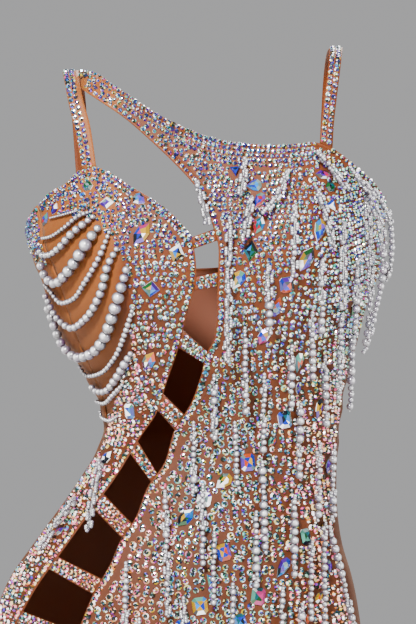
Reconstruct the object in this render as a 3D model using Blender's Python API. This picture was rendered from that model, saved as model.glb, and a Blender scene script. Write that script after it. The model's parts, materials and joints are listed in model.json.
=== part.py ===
"""A Latin dance dress of stretch mesh, as separate sewn pieces, each a closed wall in its worn shape.

The pattern is drawn in millimetres of a master size and graded down by GRADE. Across runs from the middle
to the wearer's left (+X), down from the shoulder line (-Z), and the front faces -Y. A level is a height on
the worn form, whose sections tilt a little with the shoulders.
"""

import math
from collections import namedtuple

import bpy
import numpy as np
from mathutils import Vector
from mathutils.geometry import delaunay_2d_cdt

GRADE = 0.92 * 0.001  # metres of this dress in one millimetre of the master pattern

# Driving dimensions, in metres
CLOTH = 0.0016
STRAP_CLOTH = 0.0018
SEAM_GAP = 0.0003
SEAM_HALF = SEAM_GAP * 0.9  # each panel stops this far from a side seam
LAID_GAP = 0.0008  # under a tape that lies on the cloth, whose facets rise a little in hollows
HANG_GAP = 0.0018  # under a swag
STONE_HEIGHT = 0.0026
TAPE_THICK = 0.0010
TAPE_WIDTH = 0.0034
ROOT_RISE = TAPE_THICK * 0.6  # a root's middle over the underside of its tape
STRAND_OFF = 0.0084  # a hanging strand's middle from the middle of the cloth

# Driving dimensions of the master pattern, in its millimetres
HEM = 782
SHOULDER_ROUND = 40  # levels over which the form rounds to the shoulder's ridge
SHOULDER_TILT = 0.087  # how far the sections drop per millimetre across
TILT_FULL, TILT_GONE = 120, 320
FLAT_WIDTH = 150  # flat millimetres of the pattern in one radian
MEAN_RADIUS = 100  # of the form, to turn a distance round it into radians
SEAM_ACROSS = 0.75  # how far a strap stops short of an edge
ARMHOLE_TO_SEAM, CUTOUT_TO_SEAM = 4, 6  # levels from the front's corners to its side seams
CUP_TO_SEAM, STRIP_TO_SEAM = 3, 4  # levels from the cup's corners to its side seam
ROOT_DROP = 7  # below its root, where a strand has come off the cloth
ROOT_CLEAR = ROOT_DROP * 1.5  # a strand's next point is at least this far from its root
LONE_TAPE = (2, 3)  # half the tape of a row with one strand, across and down
SWAG_END_RADIUS = 1.2
BETWEEN_PEARLS = 0.55  # a swag's radius between two shaped pearls over its radius at them
EDGE_STEP = 13
FRONT_GRID, BACK_GRID = 25, 38
GRID_ROW = 0.87  # distance between a grid's rows over its step
EDGE_CLEAR = 0.4  # distance of a grid's points from the outline over its step
STONE_CLEAR = 4
SEAM_CLEAR = 3  # levels that a seam's points keep from its ends
SAME_PLACE = 1.0  # outline points closer than this are one
STONE_TOP = 0.6  # size of a raised stone's flat top over its base
FRONT_HEM_POINTS, BACK_HEM_POINTS, BACK_TOP_POINTS = 34, 50, 58
LADDER_ROWS, STRAP_ROWS = 7, 12
READ_STEP = 2  # step at which an edge is read for a strap's ends
TAPE_STEP, SWAG_STEP = 9, 10
TAPE_REACH = 9  # a stone this near raises the tape
LEVEL_STEP = 0.5
TURN_STEP = 0.02  # radians either side of a point where the form's slope is read
SIDE_LIMIT = 0.995  # furthest place in the front view, as a share of half the form's width
SETTLE_ROUNDS = 12
SEEN_ROUNDS = 8
BACK_TOP_START, BACK_TOP_ROUNDS = 200.0, 6
STRAND_OUT = Vector((0, -1, 0.02))  # the way that a tube's rings are turned

Section = namedtuple("Section", "level left right front back")
SECTIONS = (
    Section(0, -225, 225, 80, 84),
    Section(40, -222, 222, 84, 90),
    Section(80, -208, 208, 96, 97),
    Section(110, -192, 195, 102, 101),
    Section(140, -180, 183, 105, 103),
    Section(170, -176, 180, 107, 102),
    Section(215, -162, 175, 106, 98),
    Section(250, -153, 161, 102, 93),
    Section(285, -138, 151, 95, 87),
    Section(320, -116, 140, 89, 83),
    Section(350, -102, 135, 86, 82),
    Section(385, -104, 132, 87, 86),
    Section(410, -119, 131, 90, 93),
    Section(437, -137, 131, 95, 102),
    Section(485, -172, 137, 104, 117),
    Section(515, -193, 146, 109, 124),
    Section(564, -212, 155, 114, 128),
    Section(610, -219, 159, 117, 126),
    Section(680, -224, 163, 120, 124),
    Section(HEM, -230, 168, 126, 130),
)

# The two cups' darts, as smooth rounds on the front
Cup = namedtuple("Cup", "across level reach height")
CUPS = (Cup(-92, 200, 50, 30), Cup(112, 192, 50, 30))

# Degrees round from the middle front where the side seams run
Seam = namedtuple("Seam", "level right left")
SEAMS = (
    Seam(100, 86, -66),
    Seam(170, 85, -65),
    Seam(290, 81, -64),
    Seam(350, 79, -74),
    Seam(400, 76, -80),
    Seam(480, 72, -80),
    Seam(540, 72, -82),
    Seam(600, 75, -84),
    Seam(HEM, 78, -85),
)

# Edges in the front view, as (across, down) in master millimetres
NECKLINE = (
    (-125, 11), (-115, 13), (-105, 17), (-95, 25), (-75, 39), (-55, 53), (-25, 69),
    (5, 81), (40, 87), (80, 88), (109, 85),
)
ARMHOLE = ((125, 91), (138, 100), (159, 117), (169, 126), (177, 137), (180, 143))
CUTOUT_FRONT = (
    (-122, 31), (-107, 41), (-78, 61), (-53, 83), (-27, 108), (-14, 122), (-4, 135), (3, 150), (8, 166),
    (14, 189), (14, 204), (13, 227), (12, 264), (8, 283), (3, 291), (-3, 314), (-13, 342), (-29, 368),
    (-40, 402), (-55, 423), (-69, 457), (-81, 474), (-92, 499), (-109, 529), (-124, 564), (-140, 592),
    (-165, 612), (-200, 626),
)
CUP_TOP = (
    (-164, 146), (-154, 135), (-139, 127), (-120, 112), (-107, 110), (-97, 114), (-77, 127), (-52, 142),
    (-29, 160), (-14, 178),
)
CUTOUT_CUP = (
    (-14, 178), (-11, 192), (-11, 229), (-16, 245), (-27, 288), (-39, 323), (-47, 349), (-64, 375),
    (-86, 411), (-111, 446), (-145, 493), (-167, 524), (-185, 557), (-200, 590), (-213, 622),
)
# Ladder straps: the drops where each leaves the cup's edge and meets the front's edge
Ladder = namedtuple("Ladder", "cup_top cup_low front_top front_low")
LADDERS = (
    Ladder(179, 190, 171, 182),
    Ladder(218, 231, 213, 227),
    Ladder(270, 287, 291, 302),
    Ladder(333, 349, 353, 368),
    Ladder(380, 392, 411, 419),
    Ladder(432, 446, 460, 474),
    Ladder(494, 506, 514, 529),
    Ladder(548, 560, 566, 578),
    Ladder(588, 600, 600, 608),
)

# Shoulder straps: left and right edge, in the front view, from the shoulder's ridge down
StrapEdge = namedtuple("StrapEdge", "down left right")
LEFT_STRAP = (
    StrapEdge(13, -142, -126), StrapEdge(25, -139, -124), StrapEdge(44, -135, -120),
    StrapEdge(65, -130, -114), StrapEdge(88, -125, -110), StrapEdge(110, -121, -107),
)
RIGHT_STRAP = (
    StrapEdge(-10, 124, 137), StrapEdge(10, 122, 134), StrapEdge(40, 118, 130),
    StrapEdge(65, 115, 127), StrapEdge(88, 113, 125),
)
BACK_STRAP_ACROSS = 118  # a strap's middle where it meets the back
BACK_STRAP_WIDTH = 13

# The back's top edge: level at degrees round from the middle front, by the wearer's left
BackTop = namedtuple("BackTop", "turn level")
BACK_TOP = (
    BackTop(85, 158), BackTop(100, 168), BackTop(130, 188), BackTop(155, 203), BackTop(180, 208),
    BackTop(205, 203), BackTop(230, 188), BackTop(260, 163), BackTop(280, 146), BackTop(294, 132),
)

# Large stones raised on the cloth: place in the front view, length, width and turn in degrees
Stone = namedtuple("Stone", "cut across down length width turn")
FRONT_STONES = (
    Stone("triangle", 30, 114, 11, 11, 0), Stone("pear", 48, 128, 15, 12, 180),
    Stone("marquise", 53, 167, 19, 11, -65), Stone("rhombus", 45, 192, 21, 15, -77),
    Stone("pear", 32, 221, 20, 13, 121), Stone("rect", 80, 225, 16, 14, 82),
    Stone("pear", 70, 247, 19, 11, -72), Stone("marquise", 58, 275, 20, 12, -63),
    Stone("marquise", 99, 200, 27, 15, -60), Stone("pear", 112, 172, 23, 13, 111),
    Stone("triangle", 124, 148, 12, 12, -30), Stone("marquise", 116, 117, 18, 9, 8),
    Stone("pear", 92, 302, 20, 10, 95), Stone("rhombus", 147, 247, 18, 10, -80),
    Stone("rect", 78, 358, 17, 14, 80), Stone("pear", 112, 348, 21, 9, 103),
    Stone("marquise", 66, 379, 13, 8, -50), Stone("rect", 42, 400, 17, 14, 85),
    Stone("pear", 18, 419, 19, 13, 140), Stone("rect", -1, 436, 14, 14, 10),
    Stone("rect", 18, 488, 17, 13, 75), Stone("pear", 76, 504, 23, 11, 127),
    Stone("rect", 99, 474, 16, 12, 80), Stone("rect", 52, 531, 17, 14, 100),
    Stone("rect", -5, 540, 17, 15, 82), Stone("marquise", -19, 454, 23, 13, -48),
    Stone("rect", -21, 560, 14, 14, 80), Stone("pear", 30, 600, 18, 11, 140),
    Stone("rect", -90, 620, 14, 14, 70), Stone("marquise", 95, 640, 20, 11, -60),
    Stone("rhombus", -20, 665, 17, 14, -75), Stone("pear", 50, 705, 20, 12, 120),
    Stone("rect", -120, 690, 14, 14, 80), Stone("marquise", 120, 715, 20, 11, -60),
)
CUP_STONES = (
    Stone("round", -115, 128, 12, 10, 0), Stone("rhombus", -96, 145, 16, 12, 0),
    Stone("pear", -64, 142, 13, 12, 40), Stone("marquise", -62, 176, 27, 14, -51),
    Stone("rhombus", -28, 194, 20, 16, -70), Stone("rhombus", -53, 229, 18, 17, 10),
    Stone("marquise", -55, 300, 24, 13, -57), Stone("rect", -74, 350, 15, 12, 90),
    Stone("marquise", -97, 397, 17, 13, -60), Stone("marquise", -144, 470, 14, 7, -40),
)
# Outlines of the cuts, as shares of half the length and half the width
CUTS = {
    "marquise": ((1, 0), (0.35, 0.9), (-0.35, 0.9), (-1, 0), (-0.35, -0.9), (0.35, -0.9)),
    "pear": ((1, 0), (0.3, 0.75), (-0.5, 1), (-1, 0.4), (-1, -0.4), (-0.5, -1), (0.3, -0.75)),
    "rhombus": ((1, 0), (0, 1), (-1, 0), (0, -1)),
    "rect": ((1, 0.6), (0.7, 1), (-0.7, 1), (-1, 0.6), (-1, -0.6), (-0.7, -1), (0.7, -1), (1, -0.6)),
    "triangle": ((0, -1), (1, 0.8), (-1, 0.8)),
    "round": ((1, 0), (0.5, 0.87), (-0.5, 0.87), (-1, 0), (-0.5, -0.87), (0.5, -0.87)),
}

# Pearl swags on the cup: pearl size and the way each hangs, from the tape to the side
Swag = namedtuple("Swag", "pearl way")
SWAGS = (
    Swag(3, ((-125, 152), (-140, 156), (-153, 159))),
    Swag(4.5, ((-111, 153), (-123, 157), (-140, 170), (-154, 178), (-161, 179))),
    Swag(8, ((-108, 157), (-117, 164), (-132, 176), (-144, 189), (-156, 196), (-163, 195), (-164, 188))),
    Swag(12, ((-103, 167), (-115, 183), (-128, 203), (-140, 218), (-148, 224), (-157, 219), (-163, 206))),
    Swag(5.7, ((-93, 172), (-103, 197), (-118, 223), (-131, 240), (-143, 243), (-153, 232), (-160, 224))),
    Swag(8, ((-85, 188), (-94, 204), (-103, 235), (-118, 259), (-132, 268), (-145, 260), (-159, 236))),
    Swag(
        12,
        ((-76, 207), (-80, 221), (-86, 241), (-93, 262), (-101, 281), (-114, 294), (-128, 297), (-140, 288),
         (-149, 269), (-156, 249)),
    ),
    Swag(5, ((-70, 246), (-79, 274), (-89, 297), (-104, 313), (-118, 315), (-126, 305))),
    Swag(8, ((-72, 291), (-80, 304), (-89, 319), (-100, 331), (-110, 330), (-116, 322))),
    Swag(5, ((-81, 323), (-91, 334), (-101, 343), (-109, 341))),
    Swag(3.5, ((-86, 355), (-96, 360), (-104, 356), (-105, 350))),
)
SWAG_TAPE = (
    (-131, 150), (-111, 151), (-101, 160), (-92, 170), (-84, 186), (-76, 205), (-71, 228), (-69, 248),
    (-70, 275), (-72, 291), (-80, 321), (-86, 355),
)
BEADED_FROM = 8  # swags of pearls this large have each pearl shaped
ROUND_SIDES, FLAT_SIDES = 5, 4

# Fringe: rows of hanging pearl strands, each row sewn to its own narrow tape. A strand is the way it
# hangs in the front view; the tape runs through the strands' tops.
FRINGE = {
    "fringe_neckline": (
        ((40, 100), (35, 138)),
        ((82, 112), (70, 140), (57, 155)),
        ((109, 93), (125, 112), (139, 131)),
    ),
    "fringe_armhole": (
        ((141, 108), (165, 138), (172, 160), (172, 280)),
        ((149, 117), (178, 148), (183, 162), (182, 221)),
        ((160, 133), (163, 190), (163, 293)),
    ),
    "fringe_bust": (
        ((24, 158), (22, 301)),
        ((46, 138), (38, 182)),
        ((88, 148), (87, 217)),
        ((110, 131), (120, 160), (126, 188)),
        ((136, 163), (136, 250)),
    ),
    "fringe_underbust": (
        ((62, 204), (63, 273)),
        ((115, 198), (114, 278)),
        ((152, 196), (148, 275)),
    ),
    "fringe_ribs": (
        ((39, 265), (40, 351)),
        ((105, 250), (106, 320)),
        ((135, 252), (132, 340)),
    ),
    "fringe_waist": (
        ((85, 283), (85, 348)),
        ((118, 294), (120, 366)),
        ((146, 275), (144, 351)),
    ),
    "fringe_waist_low": (
        ((9, 312), (9, 379)),
        ((58, 311), (57, 393)),
        ((94, 341), (93, 414)),
    ),
    "fringe_high_hip": (
        ((-11, 359), (-11, 430)),
        ((29, 359), (32, 428)),
        ((56, 398), (59, 488)),
        ((113, 381), (112, 458)),
        ((127, 386), (127, 460)),
    ),
    "fringe_hip": (
        ((-39, 427), (-36, 549)),
        ((-2, 420), (-2, 500)),
        ((50, 447), (50, 521)),
        ((88, 432), (88, 513)),
        ((118, 460), (118, 563)),
        ((122, 464), (130, 490), (142, 540), (148, 566)),
    ),
    "fringe_low_hip": (
        ((-77, 497), (-78, 580)),
        ((9, 467), (8, 539)),
        ((105, 478), (104, 556)),
    ),
    "fringe_thigh": (
        ((-64, 551), (-64, 632)),
        ((-21, 530), (-21, 606)),
        ((27, 517), (27, 591)),
        ((76, 522), (76, 597)),
        ((95, 538), (95, 611)),
    ),
    "fringe_upper_skirt": (
        ((-115, 600), (-115, 675)),
        ((-45, 640), (-45, 712)),
        ((10, 625), (10, 700)),
        ((60, 640), (60, 715)),
        ((120, 610), (121, 690)),
    ),
    "fringe_lower_skirt": (
        ((-165, 660), (-166, 735)),
        ((-90, 685), (-90, 760)),
        ((-15, 690), (-15, 765)),
        ((35, 735), (35, 772)),
        ((90, 690), (90, 764)),
        ((140, 680), (141, 755)),
    ),
    "fringe_side_strip": (
        ((-103, 399), (-110, 430), (-115, 468)),
        ((-128, 437), (-148, 462), (-164, 488)),
    ),
    "fringe_cutout": (
        ((-9, 121), (-2, 145), (2, 166)),
    ),
}
# A strand's radius along its length, in shares and master millimetres
Taper = namedtuple("Taper", "share radius")
STRAND_TAPER = (Taper(0, 1.1), Taper(0.14, 3.1), Taper(0.78, 3.6), Taper(0.92, 2.8), Taper(1, 0.9))
STRAND_STEPS = 5

Look = namedtuple("Look", "name colour roughness")
MESH_LOOK = Look("stretch_mesh", (0.48, 0.19, 0.085, 1.0), 0.6)
STRAP_LOOK = Look("strap_mesh", (0.52, 0.22, 0.10, 1.0), 0.55)
PEARL_LOOK = Look("pearl", (0.86, 0.84, 0.86, 1.0), 0.2)


def smooth(places, values, at):
    """A smooth curve through a table's values, with the slopes of its neighbours' chords."""
    places, values = np.asarray(places, float), np.asarray(values, float)
    slopes = np.gradient(values, places)
    at = min(max(at, places[0]), places[-1])
    i = int(min(max(np.searchsorted(places, at) - 1, 0), len(places) - 2))
    width = places[i + 1] - places[i]
    t = (at - places[i]) / width
    rise = (1 + 2 * t) * (1 - t) ** 2 * values[i] + t * t * (3 - 2 * t) * values[i + 1]
    return rise + width * (t * (1 - t) ** 2 * slopes[i] - t * t * (1 - t) * slopes[i + 1])


def column(table, name):
    return [getattr(row, name) for row in table]


def even(points, step):
    """Points about a step apart on a smooth curve through the given ones, both ends kept."""
    points = np.asarray(points, float)
    along = np.concatenate([[0], np.cumsum(np.linalg.norm(np.diff(points, axis=0), axis=1))])
    count = max(2, int(round(along[-1] / step)) + 1)
    if len(points) == 2:
        return [tuple(points[0] + (points[1] - points[0]) * t) for t in np.linspace(0, 1, count)]
    places = np.linspace(0, along[-1], count)
    return [tuple(smooth(along, points[:, k], at) for k in range(2)) for at in places]


LEVELS = np.arange(0, HEM + LEVEL_STEP, LEVEL_STEP)


def shoulder(level):
    """How far the form has rounded out below the shoulder's ridge."""
    share = min(max(level / SHOULDER_ROUND, 0), 1)
    return math.sqrt(1 - (1 - share) ** 2)


def depth(level, side):
    return smooth(column(SECTIONS, "level"), column(SECTIONS, side), level) * shoulder(level)


def arc_table(side):
    depths = np.array([depth(level, side) for level in LEVELS])
    return np.concatenate([[0], np.cumsum(np.hypot(np.diff(LEVELS), np.diff(depths)))])


ARC = {side: arc_table(side) for side in ("front", "back")}


def arc_of(level, side="front"):
    return float(np.interp(level, LEVELS, ARC[side]))


def level_of(arc, side="front"):
    return float(np.interp(arc, ARC[side], LEVELS))


def tilt(level):
    """How far a section drops per millimetre across, which fades towards the waist."""
    share = min(max((level - TILT_FULL) / (TILT_GONE - TILT_FULL), 0), 1)
    return SHOULDER_TILT * (1 - share * share * (3 - 2 * share))


def spread(level):
    """A section's middle and half its width."""
    left = smooth(column(SECTIONS, "level"), column(SECTIONS, "left"), level)
    right = smooth(column(SECTIONS, "level"), column(SECTIONS, "right"), level)
    return (left + right) / 2, (right - left) / 2


def cups(across, level):
    return sum(
        cup.height * math.exp(-((across - cup.across) ** 2 + (level - cup.level) ** 2) / (2 * cup.reach**2))
        for cup in CUPS
    )


def on_form(turn, level, over_ridge=False):
    """The point of the form at a turn in radians from the middle front, round by the wearer's left."""
    middle, half = spread(level)
    across = middle + half * math.sin(turn)
    facing = math.cos(turn)
    if over_ridge or facing < 0:
        back = depth(level, "back") * abs(facing)
    else:
        back = -(depth(level, "front") + cups(across, level)) * facing
    return Vector((across, back, tilt(level) * across - level)) * GRADE


def at_flat(turn, arc):
    """The point at flat coordinates, where a negative arc is past the shoulder's ridge."""
    if arc < 0:
        return on_form(turn, level_of(-arc, "back"), over_ridge=True)
    return on_form(turn, level_of(arc))


def normal_at(turn, arc, reach=1.0):
    across = at_flat(turn + TURN_STEP, arc) - at_flat(turn - TURN_STEP, arc)
    down = at_flat(turn, arc + reach) - at_flat(turn, arc - reach)
    return down.cross(across).normalized()


def front_place(across, down):
    """Turn and level on the form of a point of the front view."""
    level = down
    for _ in range(SETTLE_ROUNDS):
        level = max(down + tilt(level) * across, 0.0)
    middle, half = spread(level)
    turn = math.asin(min(max((across - middle) / half, -SIDE_LIMIT), SIDE_LIMIT))
    return turn, level


def off_front(across, down, out):
    """A point of the front view, moved out from the cloth's middle by a number of metres."""
    turn, level = front_place(across, down)
    arc = max(arc_of(level), 1.0)
    return at_flat(turn, arc) + normal_at(turn, arc) * out


def seen_front(across, down, out):
    """The point out from the cloth by a number of metres that shows at a place of the front view."""
    x, y = across, down
    for _ in range(SEEN_ROUNDS):
        point = off_front(x, y, out)
        x += across - point.x / GRADE
        y += down + point.z / GRADE
    return off_front(x, y, out)


def seam_turn(level, side):
    return math.radians(smooth(column(SEAMS, "level"), column(SEAMS, side), level))


def flat_front(across, down):
    turn, level = front_place(across, down)
    return turn * FLAT_WIDTH, arc_of(level)


def flat_edge(points):
    return [flat_front(across, down) for across, down in even(points, EDGE_STEP)]


def seam_levels(top, low):
    inner = [level for level in range(0, HEM, EDGE_STEP) if top + SEAM_CLEAR < level < low - SEAM_CLEAR]
    return [top, *inner, low]


def seam_edge(top, low, side, outward, arc_side="front", turns=0.0):
    """A side seam's flat points from top to low, moved to the panel's own side of the seam."""
    shift = outward * SEAM_HALF / (MEAN_RADIUS * GRADE)
    return [
        ((seam_turn(level, side) + turns + shift) * FLAT_WIDTH, arc_of(level, arc_side))
        for level in seam_levels(top, low)
    ]


def closed_mesh(name, points, faces, look):
    mesh = bpy.data.meshes.new(name)
    mesh.from_pydata([tuple(p) for p in points], [], faces)
    mesh.validate()
    mesh.update()
    volume = 0.0
    for face in mesh.polygons:
        corners = [mesh.vertices[i].co for i in face.vertices]
        for second, third in zip(corners[1:], corners[2:]):
            volume += corners[0].dot(second.cross(third))
    if volume < 0:
        mesh.flip_normals()
    piece = bpy.data.objects.new(name, mesh)
    bpy.context.scene.collection.objects.link(piece)
    mesh.materials.append(material(look))
    return piece


def material(look):
    found = bpy.data.materials.get(look.name)
    if found:
        return found
    made = bpy.data.materials.new(look.name)
    made.use_nodes = True
    shader = made.node_tree.nodes["Principled BSDF"]
    shader.inputs["Base Color"].default_value = look.colour
    shader.inputs["Roughness"].default_value = look.roughness
    shader.inputs["Metallic"].default_value = 0.0
    return made


def stone_ring(stone, size):
    """A stone's outline in the front view, at a share of its size."""
    turn = math.radians(stone.turn)
    ring = []
    for along, aside in CUTS[stone.cut]:
        x, y = along * stone.length / 2 * size, aside * stone.width / 2 * size
        ring.append(
            (
                stone.across + x * math.cos(turn) - y * math.sin(turn),
                stone.down + x * math.sin(turn) + y * math.cos(turn),
            )
        )
    return ring


def inside(point, outline):
    """Whether a flat point is inside a closed outline."""
    x, y = point
    found = False
    for (ax, ay), (bx, by) in zip(outline, outline[1:] + outline[:1]):
        if (ay > y) != (by > y) and x < (bx - ax) * (y - ay) / (by - ay) + ax:
            found = not found
    return found


def distance_to(point, outline):
    """A flat point's distance from a closed outline."""
    p = np.array(point)
    ends = np.array(outline)
    runs = np.roll(ends, -1, axis=0) - ends
    shares = np.clip(((p - ends) * runs).sum(1) / np.maximum((runs**2).sum(1), 1e-9), 0, 1)
    return float(np.linalg.norm(ends + runs * shares[:, None] - p, axis=1).min())


def panel(name, outline, grid, place, normal, stones=()):
    """A closed wall over a flat outline, with stones raised in its outer points over a plain inside."""
    rings = []
    for stone in stones:
        for size, height in ((1.0, 0.0), (STONE_TOP, STONE_HEIGHT)):
            rings.append(([flat_front(*p) for p in stone_ring(stone, size)], height))
    points, edges, heights = [], [], []
    for ring, height in [(outline, 0.0), *rings]:
        first = len(points)
        points += [Vector(p) for p in ring]
        edges += [(first + i, first + (i + 1) % len(ring)) for i in range(len(ring))]
        heights += [height] * len(ring)
    low, high = np.min(outline, axis=0), np.max(outline, axis=0)
    row = 0
    for y in np.arange(low[1] + grid / 2, high[1], grid * GRID_ROW):
        row += 1
        for x in np.arange(low[0] + (row % 2) * grid / 2, high[0], grid):
            spot = (x, y)
            if not inside(spot, outline) or distance_to(spot, outline) < grid * EDGE_CLEAR:
                continue
            if any(inside(spot, ring) or distance_to(spot, ring) < STONE_CLEAR for ring, _ in rings[::2]):
                continue
            points.append(Vector(spot))
            heights.append(0.0)
    found, _, faces, sources, _, _ = delaunay_2d_cdt(points, edges, [], 1, 1e-5)
    raised = [heights[source[0]] if source else 0.0 for source in sources]
    middles = [place(p.x, p.y) for p in found]
    normals = [normal(p.x, p.y) for p in found]
    outer = [m + n * (CLOTH / 2 + h) for m, n, h in zip(middles, normals, raised)]
    inner = [m - n * CLOTH / 2 for m, n in zip(middles, normals)]
    count = len(found)
    sides = {(a, b) for face in faces for a, b in zip(face, list(face[1:]) + [face[0]])}
    walls = [tuple(face) for face in faces]
    walls += [tuple(count + i for i in reversed(face)) for face in faces]
    walls += [(b, a, count + a, count + b) for a, b in sorted(sides) if (b, a) not in sides]
    return closed_mesh(name, outer + inner, walls, MESH_LOOK)


def front_flat_point(x, y):
    return at_flat(x / FLAT_WIDTH, y)


def front_flat_normal(x, y):
    return normal_at(x / FLAT_WIDTH, y)


def back_flat_point(x, y):
    return on_form(x / FLAT_WIDTH, level_of(y, "back"))


def back_flat_normal(x, y):
    turn, level = x / FLAT_WIDTH, level_of(y, "back")
    across = on_form(turn + TURN_STEP, level) - on_form(turn - TURN_STEP, level)
    down = on_form(turn, level + 1) - on_form(turn, level - 1)
    return down.cross(across).normalized()


def joined(*edges):
    """One closed outline from edges that follow on, with points on each other dropped."""
    outline = []
    for edge in edges:
        for p in edge:
            if not outline or math.dist(p, outline[-1]) > SAME_PLACE:
                outline.append(tuple(p))
    if math.dist(outline[0], outline[-1]) < SAME_PLACE:
        outline.pop()
    return outline


def front_panel():
    neck, arm, cut = flat_edge(NECKLINE), flat_edge(ARMHOLE), flat_edge(CUTOUT_FRONT)
    top = level_of(arm[-1][1]) + ARMHOLE_TO_SEAM
    low_left = level_of(cut[-1][1]) + CUTOUT_TO_SEAM
    right = seam_edge(top, HEM, "right", -1)
    left = seam_edge(low_left, HEM, "left", 1)
    hem = [(x, arc_of(HEM)) for x in np.linspace(right[-1][0], left[-1][0], FRONT_HEM_POINTS)]
    outline = joined(neck, arm, right, hem[1:-1], left[::-1], cut[::-1])
    return panel("front_panel", outline, FRONT_GRID, front_flat_point, front_flat_normal, FRONT_STONES)


def left_cup():
    top, cut = flat_edge(CUP_TOP), flat_edge(CUTOUT_CUP)
    high = level_of(top[0][1]) + CUP_TO_SEAM
    low = level_of(cut[-1][1]) + STRIP_TO_SEAM
    left = seam_edge(high, low, "left", 1)
    outline = joined(top, cut[1:], left[::-1])
    return panel("left_cup", outline, FRONT_GRID, front_flat_point, front_flat_normal, CUP_STONES)


def back_top(turn):
    return smooth(column(BACK_TOP, "turn"), column(BACK_TOP, "level"), math.degrees(turn))


def back_panel():
    right_top = back_top(seam_turn(BACK_TOP[0].level, "right"))
    left_top = back_top(seam_turn(BACK_TOP[-1].level, "left") + math.tau)
    right = seam_edge(right_top, HEM, "right", 1, "back")
    left = seam_edge(left_top, HEM, "left", -1, "back", math.tau)
    across = np.linspace(right[0][0], left[0][0], BACK_TOP_POINTS)
    top = [(x, arc_of(back_top(x / FLAT_WIDTH), "back")) for x in across]
    hem = [(x, arc_of(HEM, "back")) for x in np.linspace(right[-1][0], left[-1][0], BACK_HEM_POINTS)]
    outline = joined(right, hem[1:-1], left[::-1], top[::-1][1:-1])
    return panel("back_panel", outline, BACK_GRID, back_flat_point, back_flat_normal)


def grid_wall(name, rows, thick, look):
    """A closed wall of a thickness over rows of points, which all have the same count."""
    rows = [[Vector(p) for p in row] for row in rows]
    high, wide = len(rows), len(rows[0])

    def normal(i, j):
        down = rows[min(i + 1, high - 1)][j] - rows[max(i - 1, 0)][j]
        across = rows[i][min(j + 1, wide - 1)] - rows[i][max(j - 1, 0)]
        return down.cross(across).normalized()

    outer, inner = [], []
    for i in range(high):
        for j in range(wide):
            side = normal(i, j) * thick / 2
            outer.append(rows[i][j] + side)
            inner.append(rows[i][j] - side)
    count = high * wide
    faces = []
    for i in range(high - 1):
        for j in range(wide - 1):
            a, b, c, d = i * wide + j, i * wide + j + 1, (i + 1) * wide + j + 1, (i + 1) * wide + j
            faces += [(a, b, c), (a, c, d)]
            faces += [(count + c, count + b, count + a), (count + d, count + c, count + a)]
    rim = list(range(wide))
    rim += [i * wide + wide - 1 for i in range(1, high)]
    rim += [(high - 1) * wide + j for j in range(wide - 2, -1, -1)]
    rim += [i * wide for i in range(high - 2, 0, -1)]
    faces += [(b, a, count + a, count + b) for a, b in zip(rim, rim[1:] + rim[:1])]
    return closed_mesh(name, outer + inner, faces, look)


def edge_across(edge, down):
    """Where an edge that runs down the front view is at a drop."""
    points = even(edge, READ_STEP)
    return float(np.interp(down, [p[1] for p in points], [p[0] for p in points]))


def ladder_strap(number, ladder):
    """One strap over the cutout, its ends along the edges of the cup and of the front."""
    rows = []
    for share in np.linspace(0, 1, LADDER_ROWS):
        row = []
        for aside in (0, 0.5, 1):
            cup_down = ladder.cup_top + (ladder.cup_low - ladder.cup_top) * aside
            front_down = ladder.front_top + (ladder.front_low - ladder.front_top) * aside
            start = edge_across(CUTOUT_CUP, cup_down) + SEAM_ACROSS
            end = edge_across(CUTOUT_FRONT, front_down) - SEAM_ACROSS
            row.append(off_front(start + (end - start) * share, cup_down + (front_down - cup_down) * share, 0))
        rows.append(row)
    return grid_wall(f"ladder_strap_{number}", rows, STRAP_CLOTH, STRAP_LOOK)


def shoulder_strap(name, edges, lower_edge, sign):
    """A strap from the front's edge over the shoulder to the back's top edge."""
    downs = column(edges, "down")
    middle = (edges[0].left + edges[0].right) / 2
    low_arc = arc_of(downs[-1] + SHOULDER_TILT * middle)
    rows = []
    for share in np.linspace(0, 1, STRAP_ROWS)[:-1]:
        down = level_of(low_arc * (1 - share)) - SHOULDER_TILT * middle
        row = []
        for side in ("left", "right"):
            across = smooth(downs, column(edges, side), down)
            drop = down if share else edge_down(lower_edge, across) - SEAM_ACROSS
            row.append(off_front(across, drop, 0))
        rows.append(row)
    for share in np.linspace(0, 1, STRAP_ROWS):
        row = []
        for side, aside in (("left", -0.5), ("right", 0.5)):
            top = getattr(edges[0], side)
            low = sign * BACK_STRAP_ACROSS + BACK_STRAP_WIDTH * aside
            across = top + (low - top) * share
            arc = (arc_of(back_top_at(low), "back") - SEAM_ACROSS) * share
            turn = across_turn(across, level_of(arc, "back"))
            row.append(at_flat(turn, -arc))
        rows.append(row)
    return grid_wall(name, rows, STRAP_CLOTH, STRAP_LOOK)


def across_turn(across, level):
    middle, half = spread(level)
    return math.asin((across - middle) / half)


def edge_down(edge, across):
    points = even(edge, READ_STEP)
    return float(np.interp(across, [p[0] for p in points], [p[1] for p in points]))


def back_top_at(across):
    """The level of the back's top edge at a distance across."""
    level = BACK_TOP_START
    for _ in range(BACK_TOP_ROUNDS):
        level = back_top(math.pi - across_turn(across, level))
    return level


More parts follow.
